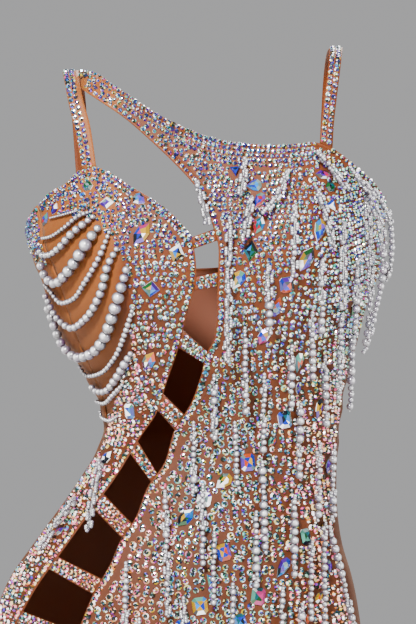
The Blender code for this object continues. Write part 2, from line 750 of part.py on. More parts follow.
def tube(points, radii, sides):
    """Points and faces of a closed tube through points, with a radius at each."""
    points = [Vector(p) for p in points]
    rings, faces = [], []
    last = len(points) - 1
    for i, (point, radius) in enumerate(zip(points, radii)):
        way = (points[min(i + 1, last)] - points[max(i - 1, 0)]).normalized()
        side = way.cross(STRAND_OUT).normalized()
        out = side.cross(way)
        for k in range(sides):
            angle = math.tau * (k + 0.5) / sides
            rings.append(point + (side * math.cos(angle) + out * math.sin(angle)) * radius)
    for i in range(last):
        for k in range(sides):
            a, b = i * sides + k, i * sides + (k + 1) % sides
            faces += [(a, b, b + sides), (a, b + sides, a + sides)]
    faces.append(tuple(range(sides))[::-1])
    faces.append(tuple(last * sides + k for k in range(sides)))
    return rings, faces


def raised_at(across, down, stones, reach):
    """The height of the stones under a spot with a reach, in metres."""
    near = (
        math.hypot(across - stone.across, down - stone.down) < max(stone.length, stone.width) / 2 + reach
        for stone in stones
    )
    return STONE_HEIGHT if any(near) else 0.0


def straight_runs(way, step):
    """Points about a step apart on the straight runs between the given ones, with these kept."""
    places = [way[0]]
    for start, end in zip(way, way[1:]):
        places += even((start, end), step)[1:]
    return places


def tape_raise(place, way, stones):
    """How high a tape is raised over the stones at a place on its way, between its own points."""
    rows = straight_runs(way, TAPE_STEP)
    runs = list(zip(rows, rows[1:]))
    start, end = min(runs, key=lambda run: math.dist(run[0], place) + math.dist(run[1], place))
    low, high = (raised_at(*row, stones, TAPE_REACH) for row in (start, end))
    return low + (high - low) * math.dist(start, place) / math.dist(start, end)


def tape(name, way, stones):
    """A narrow tape that lies on the cloth through points of the front view, over any stones."""
    half = TAPE_WIDTH / 2 / GRADE
    places = straight_runs(way, TAPE_STEP)
    rows = []
    for i, (across, down) in enumerate(places):
        before, after = places[max(i - 1, 0)], places[min(i + 1, len(places) - 1)]
        dx, dy = after[0] - before[0], after[1] - before[1]
        long = math.hypot(dx, dy)
        aside = (-dy / long * half, dx / long * half)
        out = CLOTH / 2 + LAID_GAP + TAPE_THICK / 2 + raised_at(across, down, stones, TAPE_REACH)
        rows.append(
            [off_front(across + aside[0] * k, down + aside[1] * k, out) for k in (1, -1)]
        )
    return grid_wall(name, rows, TAPE_THICK, PEARL_LOOK)


def merged(name, parts):
    """One hidden object that holds several closed shapes, to be united with a tape."""
    points, faces = [], []
    for some_points, some_faces in parts:
        first = len(points)
        points += some_points
        faces += [tuple(first + i for i in face) for face in some_faces]
    operand = closed_mesh(name, points, faces, PEARL_LOOK)
    operand.hide_render = True
    operand.display_type = "WIRE"
    return operand


def unite(base, operand):
    union = base.modifiers.new("roots", "BOOLEAN")
    union.operation = "UNION"
    union.solver = "EXACT"
    union.object = operand
    return base


def strand(way, stones):
    """A pearl strand that hangs from its root, clear of the cloth under it."""
    places = even(way, max(4, math.dist(way[0], way[-1]) / STRAND_STEPS))
    root = CLOTH / 2 + LAID_GAP + ROOT_RISE + raised_at(*way[0], stones, TAPE_REACH)
    points = [off_front(*way[0], root)]
    first_below = (
        way[0][0] + (way[1][0] - way[0][0]) * ROOT_DROP / math.dist(way[0], way[1]),
        way[0][1] + (way[1][1] - way[0][1]) * ROOT_DROP / math.dist(way[0], way[1]),
    )
    points.append(seen_front(*first_below, STRAND_OFF))
    foremost = points[-1].y
    for across, down in places[1:]:
        if math.dist((across, down), way[0]) < ROOT_CLEAR:
            continue
        point = seen_front(across, down, STRAND_OFF)
        foremost = min(foremost, point.y)
        points.append(Vector((point.x, foremost, point.z)))
    runs = np.concatenate([[0], np.cumsum([(b - a).length for a, b in zip(points, points[1:])])])
    shares = runs / runs[-1]
    radii = np.interp(shares, column(STRAND_TAPER, "share"), column(STRAND_TAPER, "radius")) * GRADE
    return tube(points, radii, FLAT_SIDES)


def fringe(name, strands):
    """A row of strands, their roots fused into one narrow tape on the front."""
    stones = CUP_STONES if name == "fringe_side_strip" else FRONT_STONES
    tops = [way[0] for way in strands]
    if len(tops) == 1:
        across, down = tops[0]
        tops = [(across - LONE_TAPE[0], down - LONE_TAPE[1]), (across + LONE_TAPE[0], down + LONE_TAPE[1])]
    base = tape(name, tops, stones)
    return unite(base, merged(f"{name}_strands", [strand(way, stones) for way in strands]))


def swag(item):
    """A pearl swag that hangs from the tape to the side, large pearls shaped one by one."""
    beaded = item.pearl >= BEADED_FROM
    step = item.pearl / 2 if beaded else SWAG_STEP
    root = min(straight_runs(SWAG_TAPE, 1), key=lambda place: math.dist(place, item.way[0]))
    places = [root, *even(item.way, step)[1:]]
    last = len(places) - 1
    points, radii = [], []
    for i, (across, down) in enumerate(places):
        radius = item.pearl / 2
        if beaded and i % 2 == 0:
            radius *= BETWEEN_PEARLS
        end = min(i, last - i)
        if end < 2:
            radius = min(radius, SWAG_END_RADIUS + end)
        if i:
            points.append(seen_front(across, down, CLOTH / 2 + HANG_GAP + radius * GRADE))
        else:
            on_tape = LAID_GAP + ROOT_RISE + tape_raise(root, SWAG_TAPE, CUP_STONES)
            points.append(off_front(across, down, CLOTH / 2 + on_tape))
        radii.append(radius * GRADE)
    return tube(points, radii, ROUND_SIDES if beaded else FLAT_SIDES)


def swags():
    base = tape("pearl_swags", SWAG_TAPE, CUP_STONES)
    return unite(base, merged("pearl_swags_strands", [swag(item) for item in SWAGS]))


def build():
    for old in list(bpy.data.objects):
        bpy.data.objects.remove(old, do_unlink=True)
    front_panel()
    left_cup()
    back_panel()
    shoulder_strap("strap_left", LEFT_STRAP, CUP_TOP, -1)
    shoulder_strap("strap_right", RIGHT_STRAP, NECKLINE + ARMHOLE, 1)
    for number, ladder in enumerate(LADDERS, 1):
        ladder_strap(number, ladder)
    swags()
    for name, strands in FRINGE.items():
        fringe(name, strands)


build()
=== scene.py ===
"""The looks of a Latin dance dress: cloth shells, bindings, cut crystals, large stones and strung pearls.

Across and down are millimetres of a master size in the front view, from the middle of the shoulder line,
and GRADE turns them into metres. A level is a height on the worn form, whose sections tilt a little with the
shoulders, and an arc is the way down the cloth from the shoulder's ridge.
"""

from __future__ import annotations

import json
import logging
import math
from collections.abc import Callable, Iterator, Sequence
from contextlib import contextmanager
from dataclasses import dataclass, field
from enum import Enum

import bmesh
import bpy
import numpy as np
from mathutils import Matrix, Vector
from mathutils.geometry import delaunay_2d_cdt
from mathutils.kdtree import KDTree

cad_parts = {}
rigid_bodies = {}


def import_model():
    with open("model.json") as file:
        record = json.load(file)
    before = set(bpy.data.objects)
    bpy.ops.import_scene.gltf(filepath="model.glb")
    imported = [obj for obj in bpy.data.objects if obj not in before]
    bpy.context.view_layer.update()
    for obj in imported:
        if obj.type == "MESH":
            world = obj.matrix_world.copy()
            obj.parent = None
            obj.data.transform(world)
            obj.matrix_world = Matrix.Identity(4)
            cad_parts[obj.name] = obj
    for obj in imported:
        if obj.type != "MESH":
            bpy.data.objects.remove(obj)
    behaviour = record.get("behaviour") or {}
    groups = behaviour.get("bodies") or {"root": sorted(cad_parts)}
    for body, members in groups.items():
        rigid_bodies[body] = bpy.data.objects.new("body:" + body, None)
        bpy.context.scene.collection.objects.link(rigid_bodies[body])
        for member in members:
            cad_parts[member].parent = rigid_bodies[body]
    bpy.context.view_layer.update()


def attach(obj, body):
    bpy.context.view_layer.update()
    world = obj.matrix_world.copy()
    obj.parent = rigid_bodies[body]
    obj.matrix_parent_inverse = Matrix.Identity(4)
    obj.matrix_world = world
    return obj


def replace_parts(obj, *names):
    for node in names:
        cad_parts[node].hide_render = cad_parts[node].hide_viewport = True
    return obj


LOG = logging.getLogger("dress")
GRADE = 0.92 * 0.001  # metres of this dress in one millimetre of the master pattern
BODY = "root"
SEED = 20417

HEM = 782.0
FLAT_WIDTH = 150.0  # flat millimetres of the pattern in one radian
WALL = 0.0016  # thickness of the solid walls that the shells follow
SHELL = 0.0010  # thickness of the shown cloth
SEAM_SHIFT = 0.00027 / (100 * GRADE)  # radians that a panel stops short of a side seam
NUDGE = 0.02  # radians to either side at which slopes across the cloth are read
ROW_SHARE = 0.87  # how far apart rows of a close pattern stand, for a pitch of one
TINT = "tint"

Array = np.ndarray
Piece = bpy.types.Object
Place = tuple[float, float]
Colour = tuple[float, float, float]
Spot = tuple[float, float, float]

# Level, left edge, right edge, depth of the front and depth of the back
SECTIONS = (
    (0, -225, 225, 80, 84), (40, -222, 222, 84, 90), (80, -208, 208, 96, 97), (110, -192, 195, 102, 101),
    (140, -180, 183, 105, 103), (170, -176, 180, 107, 102), (215, -162, 175, 106, 98),
    (250, -153, 161, 102, 93), (285, -138, 151, 95, 87), (320, -116, 140, 89, 83), (350, -102, 135, 86, 82),
    (385, -104, 132, 87, 86), (410, -119, 131, 90, 93), (437, -137, 131, 95, 102), (485, -172, 137, 104, 117),
    (515, -193, 146, 109, 124), (564, -212, 155, 114, 128), (610, -219, 159, 117, 126),
    (680, -224, 163, 120, 124), (HEM, -230, 168, 126, 130),
)
# Level, and degrees round from the middle front of the right and left side seams
SEAMS = (
    (100, 86, -66), (170, 85, -65), (290, 81, -64), (350, 79, -74), (400, 76, -80), (480, 72, -80),
    (540, 72, -82), (600, 75, -84), (HEM, 78, -85),
)
# Degrees round from the middle front and level of the back's top edge
BACK_TOP = (
    (85, 158), (100, 168), (130, 188), (155, 203), (180, 208), (205, 203), (230, 188), (260, 163), (280, 146),
    (294, 132),
)
# Edges of the front view, each place as across and down
NECKLINE = (
    (-125, 11), (-115, 13), (-105, 17), (-95, 25), (-75, 39), (-55, 53), (-25, 69), (5, 81), (40, 87),
    (80, 88), (109, 85),
)
ARMHOLE = ((125, 91), (138, 100), (159, 117), (169, 126), (177, 137), (180, 143))
CUTOUT_FRONT = (
    (-122, 31), (-107, 41), (-78, 61), (-53, 83), (-27, 108), (-14, 122), (-4, 135), (3, 150), (8, 166),
    (14, 189), (14, 204), (13, 227), (12, 264), (8, 283), (3, 291), (-3, 314), (-13, 342), (-29, 368),
    (-40, 402), (-55, 423), (-69, 457), (-81, 474), (-92, 499), (-109, 529), (-124, 564), (-140, 592),
    (-165, 612), (-200, 626),
)
CUP_TOP = (
    (-164, 146), (-154, 135), (-139, 127), (-120, 112), (-107, 110), (-97, 114), (-77, 127), (-52, 142),
    (-29, 160), (-14, 178),
)
CUTOUT_CUP = (
    (-14, 178), (-11, 192), (-11, 229), (-16, 245), (-27, 288), (-39, 323), (-47, 349), (-64, 375),
    (-86, 411), (-111, 446), (-145, 493), (-167, 524), (-185, 557), (-200, 590), (-213, 622),
)
# Ladder straps: drops at the cup's edge, top and low, and at the front's edge, top and low
LADDERS = (
    (179, 190, 171, 182), (218, 231, 213, 227), (270, 287, 291, 302), (333, 349, 353, 368),
    (380, 392, 411, 419), (432, 446, 460, 474), (494, 506, 514, 529), (548, 560, 566, 578),
    (588, 600, 600, 608),
)
# Shoulder straps: drop, left edge and right edge in the front view
LEFT_STRAP = (
    (13, -142, -126), (25, -139, -124), (44, -135, -120), (65, -130, -114), (88, -125, -110),
    (110, -121, -107),
)
RIGHT_STRAP = ((-10, 124, 137), (10, 122, 134), (40, 118, 130), (65, 115, 127), (88, 113, 125))
# The cup's cloth behind the swags is plain on the far side of this line
PLAIN_SIDE = (
    (-170, 150), (-125, 158), (-108, 158), (-87, 187), (-75, 212), (-71, 250), (-75, 290), (-83, 320),
    (-90, 350), (-101, 362), (-170, 372),
)


def smooth(places: Array, values: Array, at: Array) -> Array:
    """A smooth curve through a table's values, with the slopes of its neighbours' chords.

    Args:
        places: The table's places, rising.
        values: The value at each place.
        at: Where to read the curve.

    Returns:
        The value at each place asked for.
    """
    places, values = np.asarray(places, float), np.asarray(values, float)
    slopes = np.gradient(values, places)
    at = np.clip(np.asarray(at, float), places[0], places[-1])
    i = np.clip(np.searchsorted(places, at) - 1, 0, len(places) - 2)
    width = places[i + 1] - places[i]
    t = (at - places[i]) / width
    rise = (1 + 2 * t) * (1 - t) ** 2 * values[i] + t * t * (3 - 2 * t) * values[i + 1]
    return rise + width * (t * (1 - t) ** 2 * slopes[i] - t * t * (1 - t) * slopes[i + 1])


def even(points: Sequence[Place], step: float) -> Array:
    """Points about a step apart on a smooth curve through the given ones, both ends kept."""
    given = np.asarray(points, float)
    along = runs(given)
    at = np.linspace(0, along[-1], max(2, int(round(along[-1] / step)) + 1))
    if len(given) == 2:
        return given[0] + (given[1] - given[0]) * (at / along[-1])[:, None]
    return np.stack([smooth(along, given[:, k], at) for k in range(2)], axis=1)


def column(table: Sequence[Sequence[float]], place: int, at: Array) -> Array:
    """One column of a table, read smoothly at values of its first column."""
    return smooth([row[0] for row in table], [row[place] for row in table], at)


def runs(points: Array) -> Array:
    """How far along a line each of its points is."""
    return np.concatenate([[0], np.cumsum(np.linalg.norm(np.diff(points, axis=0), axis=1))])


def along(line: Array, run: Array, at: Array) -> Array:
    """Points of a line where its run has given values."""
    return np.stack([np.interp(at, run, line[:, k]) for k in range(line.shape[1])], axis=-1)


def ramp(values: Array, none: float, full: float) -> Array:
    """Shares that rise evenly from 0 at one value to 1 at another."""
    return np.clip((values - none) / (full - none), 0, 1)


def unit(vectors: Array) -> Array:
    """The same directions with a length of one."""
    return vectors / np.maximum(np.linalg.norm(vectors, axis=-1, keepdims=True), 1e-12)


def inside(points: Array, outline: Array) -> Array:
    """Whether each flat point is inside a closed outline."""
    found = np.zeros(len(points), bool)
    x, y = points[:, 0], points[:, 1]
    for (ax, ay), (bx, by) in zip(outline, np.roll(outline, -1, axis=0)):
        crosses = (ay > y) != (by > y)
        found ^= crosses & (x < (bx - ax) * (y - ay) / (by - ay if by != ay else 1) + ax)
    return found


def distance(points: Array, outline: Array, closed: bool = True) -> Array:
    """Each flat point's distance from an outline or, where it isn't closed, from a line."""
    best = np.full(len(points), np.inf)
    ends = np.roll(outline, -1, axis=0)
    runs = list(zip(outline, ends))
    for a, b in runs if closed else runs[:-1]:
        way = b - a
        share = np.clip(((points - a) @ way) / max(way @ way, 1e-9), 0, 1)
        best = np.minimum(best, np.linalg.norm(a + share[:, None] * way - points, axis=1))
    return best


class Side(Enum):
    """Which half of the form flat coordinates lie on, with its depth's column in the sections."""

    FRONT = 3
    BACK = 4


class Seam(Enum):
    """The side seams, each with its column in their table."""

    RIGHT = 1
    LEFT = 2


@dataclass(frozen=True)
class Crease:
    """A soft fold of the cloth along a line on the form, as turn in degrees and level."""

    way: tuple[Place, ...]
    height: float
    reach: float


@dataclass
class WornForm:
    """The form that the dress keeps when it is worn, from which every piece takes its place."""

    shoulder_round: float = 40.0
    shoulder_tilt: float = 0.087
    tilt_full: float = 120.0
    tilt_gone: float = 320.0
    level_step: float = 0.5
    crease_step: float = 6.0
    level_rounds: int = 12
    seen_rounds: int = 8
    cups: tuple[tuple[float, float, float, float], ...] = ((-92, 200, 50, 30), (112, 192, 50, 30))
    creases: tuple[Crease, ...] = (
        Crease(((20, 318), (48, 334), (76, 340)), 0.9, 6),
        Crease(((28, 352), (52, 362), (77, 362)), 1.0, 6),
        Crease(((58, 388), (78, 382)), 0.8, 6),
        Crease(((52, 236), (70, 226), (84, 214)), 0.8, 7),
        Crease(((-62, 262), (-40, 276), (-24, 282)), 0.7, 6),
        Crease(((88, 318), (125, 330), (180, 336), (235, 330), (280, 322)), 1.6, 9),
        Crease(((84, 348), (130, 360), (180, 366), (230, 360), (284, 350)), 1.9, 9),
        Crease(((92, 384), (140, 392), (180, 396), (220, 392), (272, 386)), 1.5, 9),
        Crease(((110, 290), (150, 300), (210, 300), (252, 292)), 1.1, 9),
        Crease(((88, 196), (112, 210), (140, 216)), 1.0, 8),
        Crease(((222, 216), (248, 208), (280, 190)), 1.0, 8),
        Crease(((120, 640), (128, 720), (130, 782)), 1.4, 12),
        Crease(((172, 600), (176, 700), (178, 782)), 1.3, 14),
        Crease(((226, 630), (232, 720), (234, 782)), 1.4, 12),
    )
    levels: Array = field(init=False)
    arcs: dict[Side, Array] = field(init=False)
    crease_lines: list[Array] = field(init=False)

    def __post_init__(self) -> None:
        """Work out the tables of arcs and of crease lines once."""
        self.levels = np.arange(0, HEM + self.level_step, self.level_step)
        self.arcs = {}
        for side in Side:
            rises = np.hypot(np.diff(self.levels), np.diff(self.depth(self.levels, side)))
            self.arcs[side] = np.concatenate([[0], np.cumsum(rises)])
        scale = [math.radians(FLAT_WIDTH), 1.0]
        self.crease_lines = [even(crease.way, self.crease_step) * scale for crease in self.creases]

    def depth(self, level: Array, side: Side) -> Array:
        """How deep the form is before or behind its middle."""
        share = np.clip(np.asarray(level) / self.shoulder_round, 0, 1)
        return column(SECTIONS, side.value, level) * np.sqrt(1 - (1 - share) ** 2)

    def arc_of(self, level: Array, side: Side = Side.FRONT) -> Array:
        """The arc down the cloth at a level."""
        return np.interp(level, self.levels, self.arcs[side])

    def flat(self, turn: Array, level: Array, side: Side = Side.FRONT) -> Array:
        """Flat places at turns and levels."""
        return np.stack([turn * FLAT_WIDTH, self.arc_of(level, side)], axis=1)

    def level_of(self, arc: Array, side: Side = Side.FRONT) -> Array:
        """The level at an arc down the cloth."""
        return np.interp(arc, self.arcs[side], self.levels)

    def tilt(self, level: Array) -> Array:
        """How far a section drops per millimetre across, which fades towards the waist."""
        share = np.clip((np.asarray(level) - self.tilt_full) / (self.tilt_gone - self.tilt_full), 0, 1)
        return self.shoulder_tilt * (1 - share * share * (3 - 2 * share))

    def spread(self, level: Array) -> tuple[Array, Array]:
        """A section's middle and half its width."""
        left, right = column(SECTIONS, 1, level), column(SECTIONS, 2, level)
        return (left + right) / 2, (right - left) / 2

    def rounds(self, across: Array, level: Array) -> Array:
        """How far the two cups round the front out."""
        total = 0.0
        for middle, height_at, reach, height in self.cups:
            away = (across - middle) ** 2 + (level - height_at) ** 2
            total = total + height * np.exp(-away / (2 * reach**2))
        return total

    def folds(self, turn: Array, level: Array) -> Array:
        """How far the creases lift the cloth, in metres."""
        spots = np.stack([np.ravel(turn) * FLAT_WIDTH, np.ravel(level) * np.ones(np.size(turn))], axis=1)
        lift = np.zeros(len(spots))
        for crease, line in zip(self.creases, self.crease_lines):
            near = np.abs(spots[:, 1] - line[:, 1].mean()) < np.ptp(line[:, 1]) / 2 + crease.reach * 4
            if near.any():
                away = distance(spots[near], line, closed=False)
                lift[near] += crease.height * 0.001 * np.exp(-((away / crease.reach) ** 2))
        return lift.reshape(np.shape(turn))

    def on_form(self, turn: Array, level: Array, over_ridge: Array | bool = False) -> Array:
        """Points of the form at turns in radians from the middle front, round by the wearer's left."""
        turn, level = np.broadcast_arrays(np.asarray(turn, float), np.asarray(level, float))
        middle, half = self.spread(level)
        across = middle + half * np.sin(turn)
        facing = np.cos(turn)
        behind = self.depth(level, Side.BACK) * np.abs(facing)
        before = -(self.depth(level, Side.FRONT) + self.rounds(across, level)) * facing
        back = np.where(np.logical_or(over_ridge, facing < 0), behind, before)
        return np.stack([across, back, self.tilt(level) * across - level], axis=-1) * GRADE

    def at_flat(self, turn: Array, arc: Array) -> Array:
        """Points at flat coordinates, where a negative arc is past the shoulder's ridge."""
        arc = np.asarray(arc, float)
        level = np.where(arc < 0, self.level_of(-arc, Side.BACK), self.level_of(arc))
        return self.on_form(turn, level, arc < 0)

    def normal_at(self, turn: Array, arc: Array) -> Array:
        """Outward directions of the cloth at flat coordinates of the front."""
        across = self.at_flat(turn + NUDGE, arc) - self.at_flat(turn - NUDGE, arc)
        down = self.at_flat(turn, arc + 1.0) - self.at_flat(turn, arc - 1.0)
        return unit(np.cross(down, across))

    def back_normal(self, turn: Array, level: Array) -> Array:
        """Outward directions of the cloth on the back."""
        across = self.on_form(turn + NUDGE, level) - self.on_form(turn - NUDGE, level)
        down = self.on_form(turn, level + 1.0) - self.on_form(turn, level - 1.0)
        return unit(np.cross(down, across))

    def front_place(self, across: Array, down: Array) -> tuple[Array, Array]:
        """Turn and level on the form of places in the front view."""
        across, down = np.asarray(across, float), np.asarray(down, float)
        level = down
        for _ in range(self.level_rounds):
            level = np.maximum(down + self.tilt(level) * across, 0.0)
        middle, half = self.spread(level)
        return np.arcsin(np.clip((across - middle) / half, -0.995, 0.995)), level

    def front_flat(self, places: Array) -> Array:
        """Flat places of places in the front view."""
        return self.flat(*self.front_place(places[:, 0], places[:, 1]))

    def off_front(self, across: Array, down: Array, out: Array) -> Array:
        """Places in the front view, moved out from the cloth's middle by a number of metres."""
        turn, level = self.front_place(across, down)
        arc = np.maximum(self.arc_of(level), 1.0)
        return self.at_flat(turn, arc) + self.normal_at(turn, arc) * np.asarray(out)[..., None]

    def seen_front(self, across: Array, down: Array, out: Array) -> Array:
        """The points out from the cloth by a number of metres that show at places of the front view."""
        x, y = np.array(across, float), np.array(down, float)
        for _ in range(self.seen_rounds):
            point = self.off_front(x, y, out)
            x += across - point[..., 0] / GRADE
            y += down + point[..., 2] / GRADE
        return self.off_front(x, y, out)

    def seam(self, level: Array, seam: Seam) -> Array:
        """The turn of a side seam at a level."""
        return np.radians(column(SEAMS, seam.value, level))

    def back_top(self, turn: Array) -> Array:
        """The level of the back's top edge at a turn."""
        return column(BACK_TOP, 1, np.degrees(turn))

    def back_ends(self) -> tuple[float, float]:
        """The turns at which the back's top edge meets the right and left side seams."""
        return float(self.seam(160, Seam.RIGHT)), float(self.seam(130, Seam.LEFT)) + math.tau


@dataclass(frozen=True)
class Cloth:
    """A panel's flat coordinates, with the cloth's middle and outward direction at each."""

    form: WornForm
    side: Side

    def base(self, flat: Array, aside: float = 0.0) -> Array:
        """Points of the form at flat places, or a little aside of them by a turn."""
        turn = flat[:, 0] / FLAT_WIDTH + aside
        if self.side is Side.BACK:
            return self.form.on_form(turn, self.form.level_of(flat[:, 1], self.side))
        return self.form.at_flat(turn, flat[:, 1])

    def point(self, flat: Array, out: Array | float = 0.0) -> Array:
        """Points on the cloth, with its creases, moved out by a number of metres."""
        lift = self.form.folds(flat[:, 0] / FLAT_WIDTH, self.form.level_of(flat[:, 1], self.side)) + out
        return self.base(flat) + self.normal(flat) * lift[:, None]

    def normal(self, flat: Array) -> Array:
        """Outward directions at flat places, without the creases."""
        turn = flat[:, 0] / FLAT_WIDTH
        if self.side is Side.BACK:
            return self.form.back_normal(turn, self.form.level_of(flat[:, 1], self.side))
        return self.form.normal_at(turn, flat[:, 1])

    def frames(self, flat: Array, turns: Array) -> Array:
        """Axes for things that lie on the cloth, turned about its outward direction.

        Args:
            flat: Flat places.
            turns: How far each thing is turned, in radians.

        Returns:
            For each place its two axes along the cloth and the outward one, as rows.
        """
        normal = self.normal(flat)
        across = self.base(flat, NUDGE) - self.base(flat, -NUDGE)
        across = unit(across - normal * (across * normal).sum(1, keepdims=True))
        up = np.cross(normal, across)
        cosine, sine = np.cos(turns)[:, None], np.sin(turns)[:, None]
        return np.stack([across * cosine + up * sine, up * cosine - across * sine, normal], axis=1)


@dataclass(frozen=True)
class Socket:
    """One output of a shader node, used in sums as a number is."""

    paint: Paint
    link: bpy.types.NodeSocket

    def maths(self, operation: str, first: Value, second: Value = 0.0) -> Socket:
        """The result of one Math node."""
        return self.paint.node("ShaderNodeMath", {"operation": operation}, {0: first, 1: second})

    def __add__(self, other: Value) -> Socket:
        """This plus another."""
        return self.maths("ADD", self, other)

    def __mul__(self, other: Value) -> Socket:
        """This times another."""
        return self.maths("MULTIPLY", self, other)

    __radd__ = __add__
    __rmul__ = __mul__

    def sine(self) -> Socket:
        """The sine of this."""
        return self.maths("SINE", self)


Value = Socket | float | Colour


class Paint:
    """A material that is put together from nodes."""

    def __init__(self, name: str) -> None:
        """Start a material with its shader.

        Args:
            name: The material's name.
        """
        self.material = bpy.data.materials.new(name)
        self.material.use_nodes = True
        self.tree = self.material.node_tree
        self.shader = self.tree.nodes["Principled BSDF"]

    def feed(self, entry: bpy.types.NodeSocket, value: Value) -> None:
        """Link a socket's output to an input, or set the input to a number or colour."""
        if isinstance(value, Socket):
            self.tree.links.new(value.link, entry)
        elif isinstance(value, tuple) and entry.type == "RGBA":
            entry.default_value = (*value, 1.0)
        else:
            entry.default_value = value

    def node(
        self,
        kind: str,
        settings: dict[str, object] | None = None,
        values: dict[int | str, Value] | None = None,
        output: int | str = 0,
    ) -> Socket:
        """One node of any type.

        Args:
            kind: The node's type.
            settings: Its properties, set first, with a ramp's colours as stops.
            values: Its inputs by number or name.
            output: Which output to give back.

        Returns:
            The output, to be used in sums or other nodes.
        """
        made = self.tree.nodes.new(kind)
        for name, value in (settings or {}).items():
            if name == "stops":
                ramp = made.color_ramp.elements
                for place, (at, colour) in enumerate(value):
                    stop = ramp[place] if place < 2 else ramp.new(at)
                    stop.position, stop.color = at, (*colour, 1.0)
            else:
                setattr(made, name, value)
        for entry, value in (values or {}).items():
            self.feed(made.inputs[entry], value)
        return Socket(self, made.outputs[output])

    def mix(self, factor: Value, first: Value, second: Value) -> Socket:
        """A colour between two by a factor."""
        return self.node("ShaderNodeMix", {"data_type": "RGBA"}, {0: factor, 6: first, 7: second}, 2)

    def dress(self, **values: Value) -> bpy.types.Material:
        """Set or link the shader's inputs, their names with underscores, and give the material."""
        for name, value in values.items():
            self.feed(self.shader.inputs[name.replace("_", " ")], value)
        return self.material


@dataclass(frozen=True)
class Ends:
    """A soft region, given by where it is none and where it is full along each axis that bounds it."""

    X: Place | None
    Y: Place | None
    Z: Place | None

    def mask(self, paint: Paint, place: Socket) -> Value:
        """How far each place is within it, from 0 to 1."""
        mask: Value = 1.0
        for axis in "XYZ":
            if getattr(self, axis):
                none, full = getattr(self, axis)
                way = paint.node("ShaderNodeSeparateXYZ", None, {0: place}, axis)
                values = {0: way, 1: none, 2: full, 3: 0.0, 4: mask}
                mask = paint.node("ShaderNodeMapRange", {"interpolation_type": "SMOOTHSTEP"}, values)
        return mask


@dataclass(frozen=True)
class StretchMesh:
    """Fine nude-tan stretch mesh, with its knit, soft random patches of tone, a painted pool of light over
    the cup's plain side and painted shade on the front below the bust.
    """

    name: str
    colour: Colour
    deep: Colour
    pitch: float = 0.0011
    roughness: float = 0.62
    # Painted light: a paler, lit colour over the cup's plain side behind the swags; painted shade: the front
    # darkened below the bust.
    painted_light_at: Ends = Ends((-0.068, -0.088), (0.03, 0.0), (-0.345, -0.315))
    painted_shade_at: Ends = Ends(None, (0.04, -0.02), (-0.2, -0.26))
    painted_shade_strength: float = 0.27
    painted_light_colour: Colour = (0.3, 0.09, 0.0165)
    painted_light_deep: Colour = (0.145, 0.04, 0.006)

    def make(self) -> bpy.types.Material:
        """The material, with painted light making it paler over the cup's plain side and painted shade making
        it darker on the front below the bust.
        """
        paint = Paint(self.name)
        flat = paint.node("ShaderNodeUVMap", {"uv_map": "flat"})
        split = {name: paint.node("ShaderNodeSeparateXYZ", None, {0: flat}, name) for name in "XY"}
        turns = math.tau / self.pitch
        courses = (split["Y"] * turns).sine()
        wales = (split["X"] * turns).sine()
        knit = courses * wales * 0.5 + 0.5
        place = paint.node("ShaderNodeTexCoord", None, None, "Object")
        cloud = paint.node(
            "ShaderNodeTexNoise", None, {"Vector": place, "Scale": 16.0, "Detail": 3.0, "Roughness": 0.55}
        )
        tone = cloud * 0.55 + knit * 0.3
        bump = paint.node("ShaderNodeBump", None, {"Strength": 0.22, "Distance": 0.0003, "Height": knit})
        plain = paint.mix(tone, self.deep, self.colour)
        # Painted light: the paler, lit colour of the cup's plain side behind the swags.
        pale = paint.mix(tone, self.painted_light_deep, self.painted_light_colour)
        lit = paint.mix(self.painted_light_at.mask(paint, place), plain, pale)
        # Painted shade: the front darkens below the bust, as the light falls off towards the hem.
        shade = self.painted_shade_at.mask(paint, place) * self.painted_shade_strength
        return paint.dress(
            Base_Color=paint.mix(shade, lit, (0.0, 0.0, 0.0)),
            Roughness=self.roughness,
            Normal=bump,
            Specular_IOR_Level=0.25,
            Sheen_Weight=0.08,
            Sheen_Roughness=0.45,
            Sheen_Tint=(1.0, 0.72, 0.5),
            Subsurface_Weight=0.2,
            Subsurface_Radius=(1.0, 0.4, 0.2),
            Subsurface_Scale=0.003,
        )


@dataclass(frozen=True)
class FacetedGlass:
    """Foiled cut glass, whose facets carry their own colours, painted highlights and painted reflections, and
    give off light in them as painted glints.
    """

    name: str
    metallic: float
    roughness: float
    painted_glint_glow: float

    def make(self) -> bpy.types.Material:
        """The material."""
        paint = Paint(self.name)
        tint = paint.node("ShaderNodeAttribute", {"attribute_name": TINT}, None, "Color")
        return paint.dress(
            Base_Color=tint,
            # Painted light: each facet gives off light in its tint, standing in for glints.
            Emission_Color=tint,
            Emission_Strength=self.painted_glint_glow,
            Metallic=self.metallic,
            Roughness=self.roughness,
            Coat_Weight=1.0,
            Coat_Roughness=0.03,
        )


@dataclass(frozen=True)
class PearlGloss:
    """Iridescent white pearl with a faint random lilac mottle, whose tint carries painted shade, lilac-grey
    round its sides, and a painted highlight.
    """

    name: str
    roughness: float = 0.3

    def make(self) -> bpy.types.Material:
        """The material."""
        paint = Paint(self.name)
        tint = paint.node("ShaderNodeAttribute", {"attribute_name": TINT}, None, "Color")
        place = paint.node("ShaderNodeTexCoord", None, None, "Object")
        cloud = paint.node("ShaderNodeTexNoise", None, {"Vector": place, "Scale": 420.0, "Detail": 1.0})
        return paint.dress(
            Base_Color=paint.mix(cloud * 0.12, tint, (0.3, 0.26, 0.34)),
            Roughness=self.roughness,
            Coat_Weight=1.0,
            Coat_Roughness=0.14,
            Coat_IOR=2.0,
            Specular_IOR_Level=0.6,
        )


@dataclass(frozen=True)
class PlainMatt:
    """A plain matt surface for the studio's floor."""

    name: str
    colour: Colour

    def make(self) -> bpy.types.Material:
        """The material."""
        return Paint(self.name).dress(Base_Color=self.colour, Roughness=0.9)


